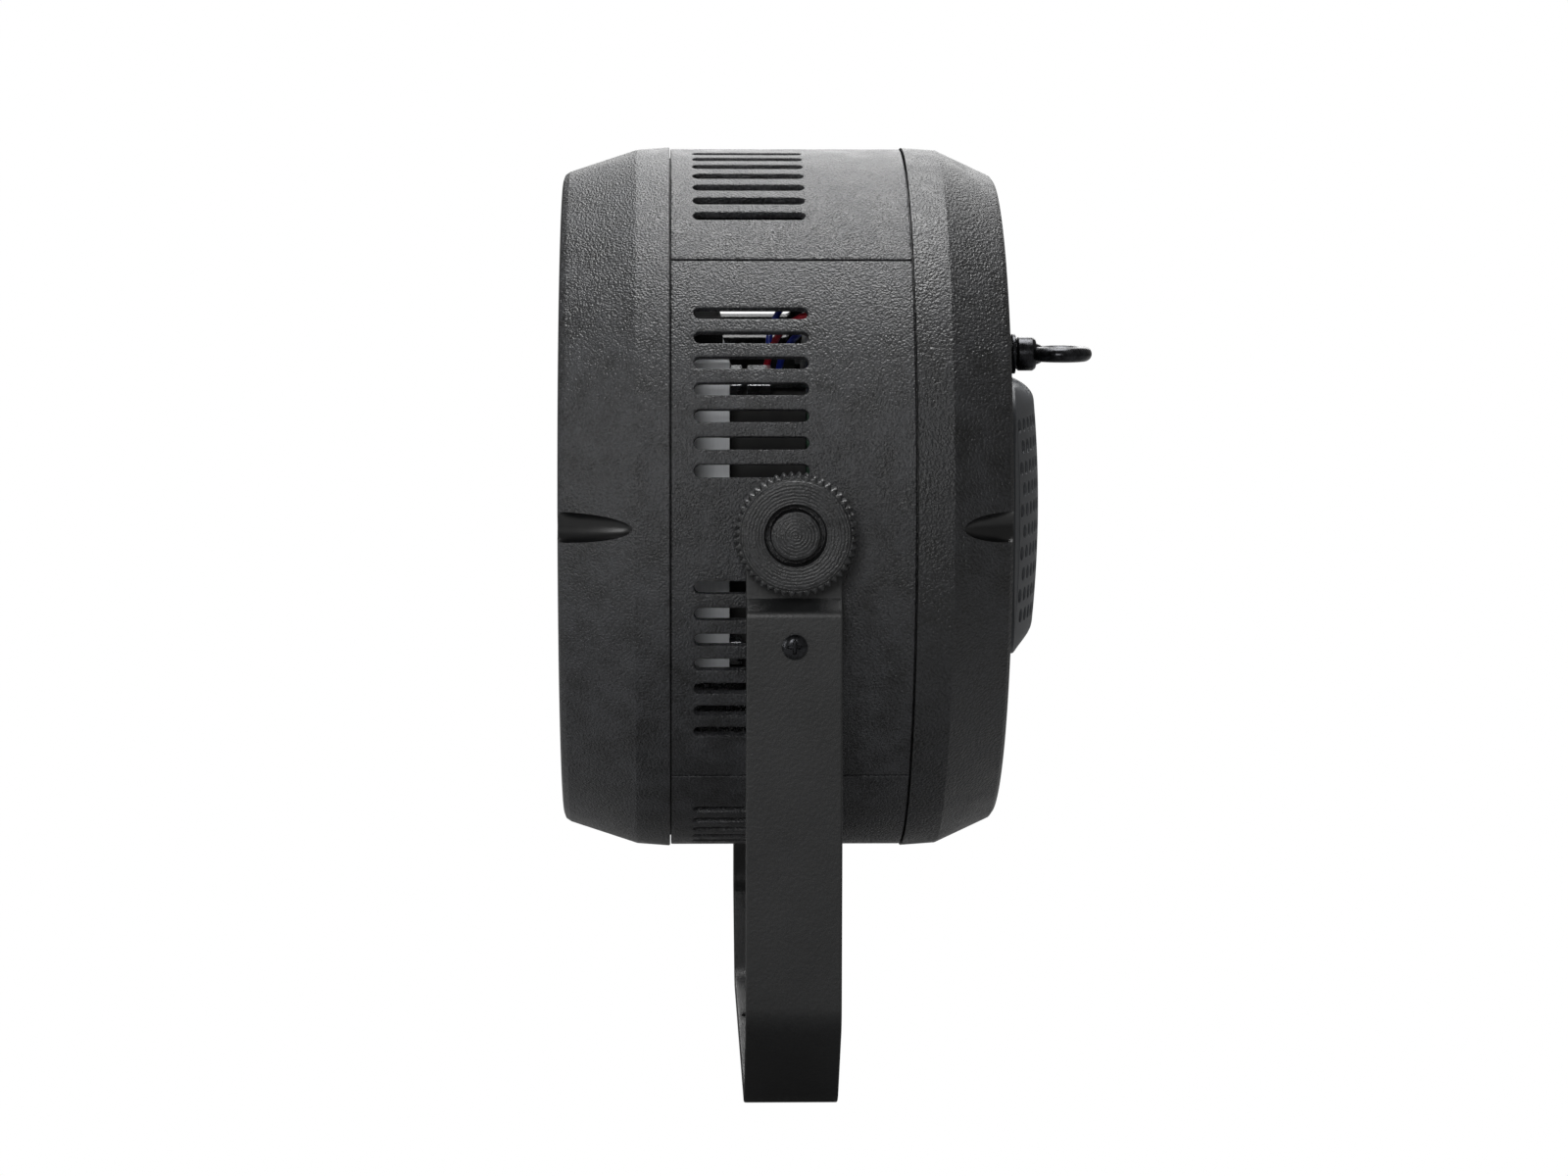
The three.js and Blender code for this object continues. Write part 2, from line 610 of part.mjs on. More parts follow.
function fanFrame() {
  const rim = alongY(circle(40.2, 0, FAN_CENTRE_Z, 28), fanFront, fanBack);
  const bore = alongY(circle(38, 0, FAN_CENTRE_Z, 28), fanFront - 1, fanBack + 1);
  const ears = arc(43, 45, 315, 3).map(([u, v]) =>
    alongY(circle(4.4, u, v + FAN_CENTRE_Z, 10), fanFront, fanBack));
  const hub = alongY(circle(15, 0, FAN_CENTRE_Z), fanFront, fanFront + 3);
  const struts = [45, 135].map((angle) => {
    const along = [Math.cos(rad(angle)), Math.sin(rad(angle))];
    const corners = [[39, 2], [-39, 2], [-39, -2], [39, -2]].map(([u, v]) => [
      u * along[0] - v * along[1],
      u * along[1] + v * along[0] + FAN_CENTRE_Z,
    ]);
    return alongY(corners, fanFront, fanFront + 3);
  });
  return joined(joined(rim, ...ears).subtract(bore), hub, ...struts);
}

place(head, 'fan_frame', fanFrame(), 'socket');

function fanRotor() {
  const low = fanFront + 3 + GAP;
  const high = fanBack - 2;
  const hub = alongY(circle(16), low, high);
  const blades = Array.from({ length: 7 }, (_, i) => {
    const blade = new THREE.BoxGeometry(22, 1.6, 17);
    blade.rotateX(rad(38)).translate(25.5, (low + high) / 2, 0).rotateY((2 * Math.PI * i) / 7);
    return solid(blade);
  });
  return joined(hub, ...blades).translate([0, 0, FAN_CENTRE_Z]);
}

place(head, 'fan_rotor', fanRotor(), 'socket');

// Rounded rectangle in plan, drawn in from the grille's outline by inset.
function grillePlan(inset) {
  const { corner } = GRILLE;
  const u = GRILLE.halfX - corner;
  const v = GRILLE.halfZ - corner;
  const centres = [[u, v, 0], [-u, v, 90], [-u, -v, 180], [u, -v, 270]];
  return centres.flatMap(([x, z, from]) =>
    arc(corner - inset, from, from + 90, 4, x, z + FAN_CENTRE_Z));
}

// Where a wide arch across X and a flat crown with round shoulders across Z meet over that plan.
function grilleBlock(inset, base) {
  const { halfX, halfZ, crest, sag } = GRILLE;
  const across = Array.from({ length: 15 }, (_, i) => (1 - i / 7) * (halfX + 1));
  const arch = [...across.map((x) => [x, crest - inset - (x * x) / sag]), [-halfX - 1, base], [halfX + 1, base]];
  const shoulder = [[halfZ + 0.5, base], [halfZ - 0.5, 75.6], [halfZ - 2, 80], [halfZ - 6, 82.8], [halfZ - 15, crest]];
  const half = shoulder.map(([z, y]) => [y - (y > base ? inset : 0), z - inset]);
  const crown = [...half, ...half.map(([y, z]) => [y, -z]).reverse()].map(([y, z]) => [y, z + FAN_CENTRE_Z]);
  return alongY(grillePlan(inset), base, crest + 1)
    .intersect(alongZ(arch, -60, 60))
    .intersect(alongX(crown, -halfX - 1, halfX + 1));
}

function fanGrille() {
  const base = REAR_FACE_Y + GAP;
  const holes = [-40, -24, -8, 8, 24, 40].flatMap((x) =>
    [-24, 0, 24].map((z) => alongY(circle(3.4, x, z + FAN_CENTRE_Z, 6), base, GRILLE.crest + 1)));
  return cutBy(grilleBlock(0, base), grilleBlock(2.2, base - 1), ...holes);
}

place(head, 'fan_grille', fanGrille(), 'casing');

// ---- Safety eye bolt ----

const eyeSeat = EYE_SEAT_Y + GAP;

function eyeBolt() {
  const collarBack = eyeSeat + 1.2 + GAP;
  const collar = alongY(circle(5.6, 0, EYE_Z), collarBack, collarBack + 6.4);
  const shank = alongY(circle(STUD_R, 0, EYE_Z, 12), 58, collarBack + 1);
  const ring = new THREE.TorusGeometry(8, 2.6, 8, 18).translate(0, collarBack + 14.6, EYE_Z);
  return joined(collar, shank, solid(ring));
}

place(head, 'eye_bolt', eyeBolt(), 'blackened');

const eyeWasher = cutBy(
  alongY(circle(6.6, 0, EYE_Z), eyeSeat, eyeSeat + 1.2),
  alongY(circle(STUD_R + GAP, 0, EYE_Z, 12), 60, 90),
);
place(head, 'eye_bolt_washer', eyeWasher, 'blackened');

const nutTop = REAR_FACE_Y - WALL - 1.5 - GAP;
const eyeNut = cutBy(
  alongY(circle(7, 0, EYE_Z, 6), nutTop - 6, nutTop),
  alongY(circle(STUD_R + GAP, 0, EYE_Z, 12), 50, 90),
);

// ---- Rear controls and sockets ----

const socketBack = 44;
const flangeY = PANEL_TOP_Y + GAP;
const latchZ = DATA_SOCKET.z + 13.1;

function controlPanel() {
  const plate = alongY(bayOutline(-GAP), BAY.floor, PANEL_TOP_Y);
  const cuts = [
    alongY(rectangle(16.3, 6.3, 0, DISPLAY_Z), 50, 80),
    alongY(rectangle(3.4, 2.5, -DATA_SOCKET.x, latchZ), 50, 80),
  ];
  for (const [, side] of sides) {
    cuts.push(alongY(circle(11.9, side * DATA_SOCKET.x, DATA_SOCKET.z), 50, 80));
  }
  for (let i = 0; i < 4; i += 1) {
    cuts.push(alongY(circle(3.3, (i - 1.5) * BUTTON_PITCH, BUTTON_Z, 12), 50, 80));
  }
  return cutBy(plate, ...cuts);
}

place(head, 'control_panel', controlPanel(), 'powderCoat');

const displayBody = joined(
  alongY(rectangle(16, 6, 0, DISPLAY_Z), BAY.floor - 5, PANEL_TOP_Y + 0.6),
  alongY(rectangle(17.5, 7.5, 0, DISPLAY_Z), BAY.floor - 6, BAY.floor - GAP),
);
place(head, 'display', displayBody, 'display');

for (let i = 0; i < 4; i += 1) {
  const x = (i - 1.5) * BUTTON_PITCH;
  const cap = alongY(circle(3, x, BUTTON_Z, 12), BAY.floor - 3, PANEL_TOP_Y + 2.2);
  const skirt = alongY(circle(4, x, BUTTON_Z, 12), BAY.floor - 4, BAY.floor - GAP);
  place(head, `menu_button_${i + 1}`, joined(cap, skirt), 'rubber');
}

// Round three-pole data sockets on a 26 x 31 mm flange.
function dataSocket(x, z, male) {
  const flange = alongY(rectangle(13, 15.5, x, z), flangeY, flangeY + 1.8);
  const barrel = alongY(circle(11.5, x, z), socketBack, flangeY + 2.6);
  const screws = [[-9.5, 12], [9.5, -12]].map(([dx, dz]) =>
    alongY(circle(2.4, x + dx, z + dz, 8), flangeY + 1, flangeY + 2.8));
  const body = joined(flange, barrel, ...screws);
  const poles = [90, 210, 330].map((angle) => [x + 4.2 * Math.cos(rad(angle)), z + 4.2 * Math.sin(rad(angle))]);
  if (male) {
    const cup = alongY(circle(9.4, x, z), flangeY - 13, flangeY + 5);
    const pins = poles.map(([u, v]) => alongY(circle(1.2, u, v, 6), flangeY - 14, flangeY - 4));
    return joined(body.subtract(cup), ...pins);
  }
  const moat = cutBy(
    alongY(circle(9.4, x, z), flangeY - 13, flangeY + 5),
    alongY(circle(7.2, x, z), flangeY - 14, flangeY + 6),
  );
  const latchWay = alongY(rectangle(3.3, 2.4, x, latchZ), flangeY - 2.4, flangeY + 5);
  const holes = poles.map(([u, v]) => alongY(circle(1.4, u, v, 6), flangeY - 12, flangeY + 5));
  return cutBy(body, moat, latchWay, ...holes);
}

place(head, 'data_in_socket', dataSocket(DATA_SOCKET.x, DATA_SOCKET.z, true), 'socket');
place(head, 'data_out_socket', dataSocket(-DATA_SOCKET.x, DATA_SOCKET.z, false), 'socket');

const latch = alongY(rectangle(3, 2.1, -DATA_SOCKET.x, latchZ), flangeY - 0.7, flangeY + 3.6);
place(head, 'data_out_latch', latch, 'steel');

// Three-blade power inlet and its matching outlet, snap-in type with a 31 x 24.6 mm flange.
function powerSocket(x, z, inlet) {
  const flange = alongY(rectangle(15.5, 12.3, x, z), flangeY, flangeY + 2);
  const housing = alongY(rectangle(13, 9.5, x, z), socketBack, flangeY + 1);
  const mouth = [[-11, -7.5], [11, -7.5], [11, 3.5], [7, 7.5], [-7, 7.5], [-11, 3.5]].map(([u, v]) => [x + u, z + v]);
  const poles = [[-7, -1.5], [0, 2.5], [7, -1.5]].map(([u, v]) => [x + u, z + v]);
  const body = joined(flange, housing);
  if (inlet) {
    const blades = poles.map(([u, v]) => alongY(rectangle(1, 2, u, v), flangeY - 15, flangeY - 3));
    return joined(body.subtract(alongY(mouth, flangeY - 14, flangeY + 5)), ...blades);
  }
  const plug = [[-9, -5.6], [9, -5.6], [9, 2.6], [6, 5.6], [-6, 5.6], [-9, 2.6]].map(([u, v]) => [x + u, z + v]);
  const moat = alongY(mouth, flangeY - 14, flangeY + 5).subtract(alongY(plug, flangeY - 15, flangeY + 6));
  const slots = poles.map(([u, v]) => alongY(rectangle(1.1, 2.2, u, v), flangeY - 13, flangeY + 5));
  return cutBy(body, moat, ...slots);
}

place(head, 'power_inlet', powerSocket(POWER_SOCKET.x, POWER_SOCKET.z, true), 'socket');
place(head, 'power_outlet', powerSocket(-POWER_SOCKET.x, POWER_SOCKET.z, false), 'socket');
place(head, 'eye_bolt_nut', eyeNut, 'steel');

const object = new THREE.Group();
object.add(frame, head);

export default object;
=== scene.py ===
import math

import bmesh
import bpy
import numpy as np
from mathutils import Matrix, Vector


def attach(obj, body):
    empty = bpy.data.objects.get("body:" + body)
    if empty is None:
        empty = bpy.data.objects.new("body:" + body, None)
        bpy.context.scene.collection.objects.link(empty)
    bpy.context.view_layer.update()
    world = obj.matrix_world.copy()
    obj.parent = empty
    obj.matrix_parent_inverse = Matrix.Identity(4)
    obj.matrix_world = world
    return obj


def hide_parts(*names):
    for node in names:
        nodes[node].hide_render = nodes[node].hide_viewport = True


# A flat stage par light on its yoke. Metres in the scene, millimetres in the settings below.
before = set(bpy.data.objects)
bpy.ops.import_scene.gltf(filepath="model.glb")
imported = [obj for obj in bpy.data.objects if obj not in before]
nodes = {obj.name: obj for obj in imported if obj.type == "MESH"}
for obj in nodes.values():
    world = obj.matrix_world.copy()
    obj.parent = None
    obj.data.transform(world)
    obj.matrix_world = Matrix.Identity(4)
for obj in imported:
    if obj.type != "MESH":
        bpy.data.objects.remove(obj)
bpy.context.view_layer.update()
pivotHeight = 184.0  # the tilt pivot above the yoke's foot, mm
print("frame loaded:", len(nodes), "nodes")


# View, floor and light
view = {
    "place": (1.4486, -0.0393, 0.3109),
    "target": (0.0, 0.0001, 0.1536),
    "lens": 100.56,
    "sensor": 36.0,
    "roll": 0.125,
}


def linear(hexColour):
    # sRGB hex to linear light, channel by channel
    srgb = [int(hexColour[k:k + 2], 16) / 255 for k in (0, 2, 4)]
    return [c / 12.92 if c <= 0.04045 else ((c + 0.055) / 1.055) ** 2.4 for c in srgb] + [1.0]


def addNode(tree, kind, settings=None, links=None):
    # one node: attributes or socket values from settings, incoming wires from links
    node = tree.nodes.new(kind)
    for key, value in (settings or {}).items():
        if isinstance(key, int) or key in node.inputs:
            node.inputs[key].default_value = value
        else:
            setattr(node, key, value)
    for key, (source, output) in (links or {}).items():
        tree.links.new(source.outputs[output], node.inputs[key])
    return node


def aimAt(thing, place, target, roll=0.0):
    # the thing's own -Z points from place to target, then it turns about that line by roll degrees
    direction = Vector(target) - Vector(place)
    thing.location = place
    thing.rotation_euler = direction.to_track_quat("-Z", "Y").to_euler()
    thing.rotation_euler.rotate_axis("Z", math.radians(roll))


def addCamera():
    # a long lens looking along -X at the middle of the light
    camera = bpy.data.objects.new("camera", bpy.data.cameras.new("camera"))
    bpy.context.scene.collection.objects.link(camera)
    camera.data.lens = view["lens"]
    camera.data.sensor_width = view["sensor"]
    camera.data.clip_end = 50
    aimAt(camera, view["place"], view["target"], view["roll"])
    bpy.context.scene.camera = camera


softLights = [
    # name, place, size, watts: a bank overhead, a key above the viewer, strips in front and behind
    ("overhead", (-0.25, 0.05, 1.45), (0.6, 0.8), 23),
    ("key", (1.55, -0.2, 0.62), (0.3, 0.4), 8.0),
    ("lensSide", (0.75, -1.5, 0.45), (0.4, 0.9), 6.5),
    ("lowFill", (0.6, -0.7, -0.9), (0.9, 0.9), 3.5),
    ("farSide", (-1.4, 0.2, 0.9), (1.0, 1.0), 10),
]


def addLights():
    # each soft light aims at the middle of the light and is hidden from the camera
    for name, place, size, watts in softLights:
        lamp = bpy.data.lights.new(name, "AREA")
        lamp.shape = "RECTANGLE"
        lamp.size, lamp.size_y = size
        lamp.energy = watts
        holder = bpy.data.objects.new(name, lamp)
        bpy.context.scene.collection.objects.link(holder)
        aimAt(holder, place, (0.0, 0.0, 0.16))
        holder.visible_camera = False


def pureWhite(tree, seen, shade):
    # the camera sees white paper, the object is lit by a greyer room
    path = addNode(tree, "ShaderNodeLightPath")
    return addNode(tree, "ShaderNodeMixShader", None, {0: (path, "Is Camera Ray"), 1: (shade, 0), 2: (seen, 0)})


def addRoom():
    # a dim warm world and a grey floor, both white to the camera
    world = bpy.data.worlds.new("paleRoom")
    bpy.context.scene.world = world
    world.use_nodes = True
    tree = world.node_tree
    tree.nodes.clear()
    seen = addNode(tree, "ShaderNodeBackground", {"Color": (1, 1, 1, 1), "Strength": 1.0})
    room = addNode(tree, "ShaderNodeBackground", {"Color": (1.0, 0.985, 0.965, 1), "Strength": 0.2})
    mix = pureWhite(tree, seen, room)
    addNode(tree, "ShaderNodeOutputWorld", None, {"Surface": (mix, 0)})
    paper = bpy.data.materials.new("white paper sweep")
    paper.use_nodes = True
    tree = paper.node_tree
    tree.nodes.clear()
    shade = addNode(tree, "ShaderNodeBsdfDiffuse", {"Color": linear("9a9a9a")})
    seen = addNode(tree, "ShaderNodeEmission", {"Color": (1, 1, 1, 1), "Strength": 1.0})
    mix = pureWhite(tree, seen, shade)
    addNode(tree, "ShaderNodeOutputMaterial", None, {"Surface": (mix, 0)})
    half, below = 12.0, -0.0006  # metres; a hair under the yoke's foot
    corners = [(x, y, below) for x, y in ((-half, -half), (half, -half), (half, half), (-half, half))]
    mesh = bpy.data.meshes.new("floor")
    mesh.from_pydata(corners, [], [(0, 1, 2, 3)])
    mesh.materials.append(paper)
    floor = bpy.data.objects.new("floor", mesh)
    bpy.context.scene.collection.objects.link(floor)
    bpy.context.scene.view_settings.view_transform = "Standard"


addCamera()
addLights()
addRoom()
print("camera, lights and floor set")


# Finishes
ringSpacing = 0.314  # metres between the rings of a wave texture at a scale of 1
ringShare = 0.35  # how strongly tool marks add to the grain
toneBand = 0.28  # half the noise range that runs from the dark tone to the light one


def finish(look):
    # Principled shader whose colour, roughness and bump follow noise in Object coordinates.
    # grain: fine surface relief; mottle: slow change of tone; stretch: grain drawn out along an axis.
    # The tone is grain times grainTone plus mottle, spread over a band either side of its middle.
    material = bpy.data.materials.new(look["name"])
    material.use_nodes = True
    tree = material.node_tree
    tree.nodes.clear()
    place = addNode(tree, "ShaderNodeTexCoord")
    scale = {"Scale": look.get("stretch", (1, 1, 1))}
    stretch = addNode(tree, "ShaderNodeMapping", scale, {"Vector": (place, "Object")})
    grain = addNode(
        tree,
        "ShaderNodeTexNoise",
        {"Scale": 1000 / look["grainMm"], "Detail": look.get("detail", 3.0), "Roughness": 0.55},
        {"Vector": (stretch, 0)},
    )
    mottle = addNode(
        tree,
        "ShaderNodeTexNoise",
        {"Scale": 1000 / look["mottleMm"], "Detail": 4.0, "Roughness": 0.6},
        {"Vector": (place, "Object")},
    )
    relieved = grain
    if "ringsMm" in look:
        # concentric tool marks round the tilt axis, wavering with a little distortion
        centred = addNode(
            tree, "ShaderNodeMapping", {"Location": (0, 0, -pivotHeight / 1000)}, {"Vector": (place, "Object")}
        )
        rings = addNode(
            tree,
            "ShaderNodeTexWave",
            {"wave_type": "RINGS", "rings_direction": "X", "Scale": 1000 * ringSpacing / look["ringsMm"],
             "Distortion": 2.5, "Detail": 3.0, "Detail Scale": 2.0},
            {"Vector": (centred, 0)},
        )
        relieved = addNode(
            tree, "ShaderNodeMath", {"operation": "MULTIPLY_ADD", 1: ringShare}, {0: (rings, "Fac"), 2: (grain, 0)}
        )
    blend = addNode(
        tree,
        "ShaderNodeMath",
        {"operation": "MULTIPLY_ADD", 1: look.get("grainTone", 0.5)},
        {0: (relieved, 0), 2: (mottle, 0)},
    )
    middle = 0.5 + 0.5 * look.get("grainTone", 0.5) * (1 + ringShare if "ringsMm" in look else 1.0)
    ramp = addNode(
        tree,
        "ShaderNodeMapRange",
        {"From Min": middle - toneBand, "From Max": middle + toneBand},
        {"Value": (blend, 0)},
    )
    colour = addNode(
        tree,
        "ShaderNodeMix",
        {"data_type": "RGBA"},
        {0: (ramp, 0)},
    )
    colour.inputs[6].default_value = linear(look["dark"])
    colour.inputs[7].default_value = linear(look["light"])
    low, high = look["roughness"]
    roughness = addNode(
        tree,
        "ShaderNodeMapRange",
        {"From Min": 0.3, "From Max": 0.7, "To Min": low, "To Max": high},
        {"Value": (mottle, 0)},
    )
    relief = addNode(
        tree,
        "ShaderNodeBump",
        {"Strength": look.get("bump", 0.5), "Distance": look["reliefMm"] / 1000},
        {"Height": (relieved, 0)},
    )
    shader = addNode(
        tree,
        "ShaderNodeBsdfPrincipled",
        {
            "Metallic": look.get("metallic", 0.0),
            "IOR": look.get("ior", 1.5),
            "Transmission Weight": look.get("transmission", 0.0),
            "Coat Weight": look.get("coat", 0.0),
            "Coat Roughness": 0.1,
        },
        {"Base Color": (colour, 2), "Roughness": (roughness, 0), "Normal": (relief, 0)},
    )
    addNode(tree, "ShaderNodeOutputMaterial", None, {"Surface": (shader, 0)})
    return material


# Moulded ABS from a spark-eroded tool: an even fine leather grain, soft broad highlights.
mouldedAbs = finish({
    "name": "moulded ABS, spark-eroded grain", "dark": "08090a", "light": "343538", "ior": 1.54,
    "roughness": (0.4, 0.52), "grainMm": 0.7, "reliefMm": 0.5, "mottleMm": 9, "bump": 1.0,
    "detail": 1.0, "grainTone": 0.9,
})  # grain 0.4 mm on the tool, drawn at 0.7 mm so that it shows
# The rear cover's ABS comes from a coarser tool: a larger grain in a deeper black.
coarseAbs = finish({
    "name": "moulded ABS, coarse leather grain", "dark": "050606", "light": "242528", "ior": 1.54,
    "roughness": (0.4, 0.54), "grainMm": 0.85, "reliefMm": 0.5, "mottleMm": 9, "bump": 1.0,
    "detail": 1.0, "grainTone": 0.9,
})
# The fan grille's ABS is plain satin, a clear step paler than the casing, so its holes read dark.
grilleAbs = finish({
    "name": "moulded ABS, plain satin", "dark": "33363a", "light": "474a4e", "ior": 1.54,
    "roughness": (0.5, 0.6), "grainMm": 0.8, "reliefMm": 0.05, "mottleMm": 20, "bump": 0.5,
})
# Polished tool inserts leave the finger scallops smooth and glossier than the grain round them.
smoothAbs = finish({
    "name": "moulded ABS, polished", "dark": "060607", "light": "101112", "ior": 1.54,
    "roughness": (0.28, 0.36), "grainMm": 0.8, "reliefMm": 0.03, "mottleMm": 12, "bump": 0.5,
})
# Powder-coated steel: cured powder leaves a faint orange peel over a satin black film.
powderCoat = finish({
    "name": "black powder-coated steel", "dark": "0d0e0f", "light": "1a1b1c", "ior": 1.5,
    "roughness": (0.38, 0.48), "grainMm": 1.1, "reliefMm": 0.12, "mottleMm": 30, "bump": 0.8,
})
# Black nylon knob, turned face: tight rubbed swirls and a satin sheen.
blackNylon = finish({
    "name": "black nylon, rubbed satin", "dark": "010101", "light": "2b2c2e", "ior": 1.5,
    "roughness": (0.3, 0.48), "grainMm": 0.7, "reliefMm": 0.2, "mottleMm": 3, "bump": 1.0, "ringsMm": 1.0,
})
# Blackened steel: black oxide over rough forging or rolled stock, oiled and glossy.
blackenedSteel = finish({
    "name": "blackened steel", "dark": "0c0c0d", "light": "3c3d40", "metallic": 0.85,
    "roughness": (0.2, 0.38), "grainMm": 1.1, "reliefMm": 0.09, "mottleMm": 3, "bump": 0.6,
})
# Bright zinc plating: silvery with a slight cloud.
zincSteel = finish({
    "name": "zinc-plated steel", "dark": "a4a6a8", "light": "d4d6d8", "metallic": 1.0,
    "roughness": (0.22, 0.38), "grainMm": 0.8, "reliefMm": 0.01, "mottleMm": 9, "bump": 0.4,
})
# Extruded aluminium: faint die lines run the length of each fin.
aluminium = finish({
    "name": "extruded aluminium", "dark": "dfe2e6", "light": "fafcff", "metallic": 0.25,
    "roughness": (0.42, 0.55), "grainMm": 0.8, "reliefMm": 0.02, "mottleMm": 18, "stretch": (1, 1, 0.04),
})
# Cast acrylic: water clear, polished, IOR 1.49.
clearAcrylic = finish({
    "name": "clear acrylic", "dark": "f4f7f8", "light": "ffffff", "ior": 1.49, "transmission": 1.0,
    "roughness": (0.02, 0.05), "grainMm": 6, "reliefMm": 0.01, "mottleMm": 30, "bump": 0.1,
})
# Smoked glass: near black, with one sharp reflection.
displayGlass = finish({
    "name": "smoked display glass", "dark": "050709", "light": "0a0e12", "ior": 1.52,
    "roughness": (0.04, 0.1), "grainMm": 5, "reliefMm": 0.005, "mottleMm": 10, "coat": 0.5, "bump": 0.1,
})
# Silicone rubber: dull and almost without a highlight.
rubber = finish({
    "name": "black silicone rubber", "dark": "0d0d0e", "light": "1d1d1f", "ior": 1.42,
    "roughness": (0.6, 0.75), "grainMm": 0.5, "reliefMm": 0.02, "mottleMm": 6,
})
# White solder mask: a flat, slightly warm white that brightens the lens plate from behind.
whiteMask = finish({
    "name": "white solder mask", "dark": "c8cac6", "light": "eceeea", "ior": 1.5,
    "roughness": (0.35, 0.45), "grainMm": 1.2, "reliefMm": 0.01, "mottleMm": 16,
})
# Glass-epoxy board: dark green with the weave just clouding it.
greenBoard = finish({
    "name": "glass-epoxy board, green mask", "dark": "0f3322", "light": "1d5a3b", "ior": 1.5,
    "roughness": (0.3, 0.42), "grainMm": 1.0, "reliefMm": 0.02, "mottleMm": 7,
})
# PVC insulation: strong plain colours with a soft, waxy highlight along each wire.
redPvc = finish({
    "name": "red PVC insulation", "dark": "8e1222", "light": "c32436", "ior": 1.53,
    "roughness": (0.32, 0.42), "grainMm": 0.9, "reliefMm": 0.01, "mottleMm": 8,
})
bluePvc = finish({
    "name": "blue PVC insulation", "dark": "1a2a8c", "light": "2f45c0", "ior": 1.53,
    "roughness": (0.32, 0.42), "grainMm": 0.9, "reliefMm": 0.01, "mottleMm": 8,
})
blackPvc = finish({
    "name": "black PVC insulation", "dark": "101112", "light": "232426", "ior": 1.53,
    "roughness": (0.36, 0.48), "grainMm": 0.9, "reliefMm": 0.01, "mottleMm": 8,
})
# Black polycarbonate film and open foam, both painted shade: dark pieces inside the housing that stand in for the
# shade seen through the slots and swallow what light comes in.
blackFilmPaintedShade = finish({
    "name": "black insulating film, painted shade", "dark": "060606", "light": "0d0d0e", "ior": 1.58,
    "roughness": (0.55, 0.7), "grainMm": 0.8, "reliefMm": 0.02, "mottleMm": 12,
})
blackFoamPaintedShade = finish({
    "name": "black open foam, painted shade", "dark": "050505", "light": "121213", "ior": 1.4,
    "roughness": (0.85, 0.95), "grainMm": 1.2, "reliefMm": 0.5, "mottleMm": 3, "bump": 1.0,
})
# LED phosphor: yellow under a clear wet-looking dome.
ledYellow = finish({
    "name": "LED phosphor under silicone", "dark": "d8c04a", "light": "eeda6c", "ior": 1.41,
    "roughness": (0.12, 0.2), "grainMm": 0.6, "reliefMm": 0.01, "mottleMm": 2,
})
print("finishes made:", len(bpy.data.materials))


# Mesh tools
def gridQuads(rows, columns, wrapRows=False, wrapColumns=False):
    # four corners of every cell of a grid of points stored row by row
    i = np.arange(rows if wrapRows else rows - 1)[:, None]
    j = np.arange(columns if wrapColumns else columns - 1)[None, :]
    below = (i + 1) % rows
    right = (j + 1) % columns
    quads = [i * columns + j, i * columns + right, below * columns + right, below * columns + j]
    return np.stack(np.broadcast_arrays(*quads), -1).reshape(-1, 4)


def sheet(points, wrapRows=False, wrapColumns=False):
    # a (rows, columns, 3) array of points and the quads between them
    rows, columns = points.shape[:2]
    return points.reshape(-1, 3), gridQuads(rows, columns, wrapRows, wrapColumns)


def makePiece(name, parts, body, material, replaced=(), sharp=32.0):
    # parts are (points, quads) in mm about the pivot; doubles are merged, then normals turned outwards
    offsets = np.cumsum([0] + [len(points) for points, _ in parts])
    points = np.concatenate([p for p, _ in parts]).astype(float)
    quads = np.concatenate([q + start for (_, q), start in zip(parts, offsets)])
    points = points + (0.0, 0.0, pivotHeight)
    mesh = bpy.data.meshes.new(name)
    mesh.from_pydata((points / 1000).tolist(), [], quads.tolist())
    shape = bmesh.new()
    shape.from_mesh(mesh)
    bmesh.ops.remove_doubles(shape, verts=shape.verts, dist=2e-6)
    bmesh.ops.dissolve_degenerate(shape, dist=1e-7, edges=shape.edges)
    bmesh.ops.recalc_face_normals(shape, faces=shape.faces)
    shape.to_mesh(mesh)
    shape.free()
    mesh.polygons.foreach_set("use_smooth", np.ones(len(mesh.polygons), bool))
    mesh.set_sharp_from_angle(angle=math.radians(sharp))
    mesh.materials.append(material)
    piece = bpy.data.objects.new(name, mesh)
    bpy.context.scene.collection.objects.link(piece)
    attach(piece, body)
    if replaced:
        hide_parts(*replaced)
    return piece


def filletPath(points, radii, steps=5, closed=False):
    # each corner becomes an arc tangent to its two sides, shortened where the sides are short
    corners = np.asarray(points, float)
    count = len(corners)
    radii = [radii] * count if np.isscalar(radii) else radii
    pieces = []
    for k in range(count):
        before, after = corners[k - 1] - corners[k], corners[(k + 1) % count] - corners[k]
        lengths = np.linalg.norm(before), np.linalg.norm(after)
        if radii[k] == 0 or (not closed and k in (0, count - 1)):
            pieces.append(corners[k:k + 1])
            continue
        before, after = before / lengths[0], after / lengths[1]
        half = math.acos(max(-1.0, min(1.0, float(before @ after)))) / 2
        if math.pi / 2 - half < 0.01:
            pieces.append(corners[k:k + 1])
            continue
        reach = min(radii[k] / math.tan(half), 0.48 * min(lengths))
        radius = reach * math.tan(half)
        middle = corners[k] + (before + after) / np.linalg.norm(before + after) * radius / math.sin(half)
        start, end = corners[k] + before * reach - middle, corners[k] + after * reach - middle
        t = np.linspace(0, 1, steps + 1)[:, None]
        turn = math.pi - 2 * half
        pieces.append(middle + (np.sin((1 - t) * turn) * start + np.sin(t * turn) * end) / math.sin(turn))
    return np.concatenate(pieces)


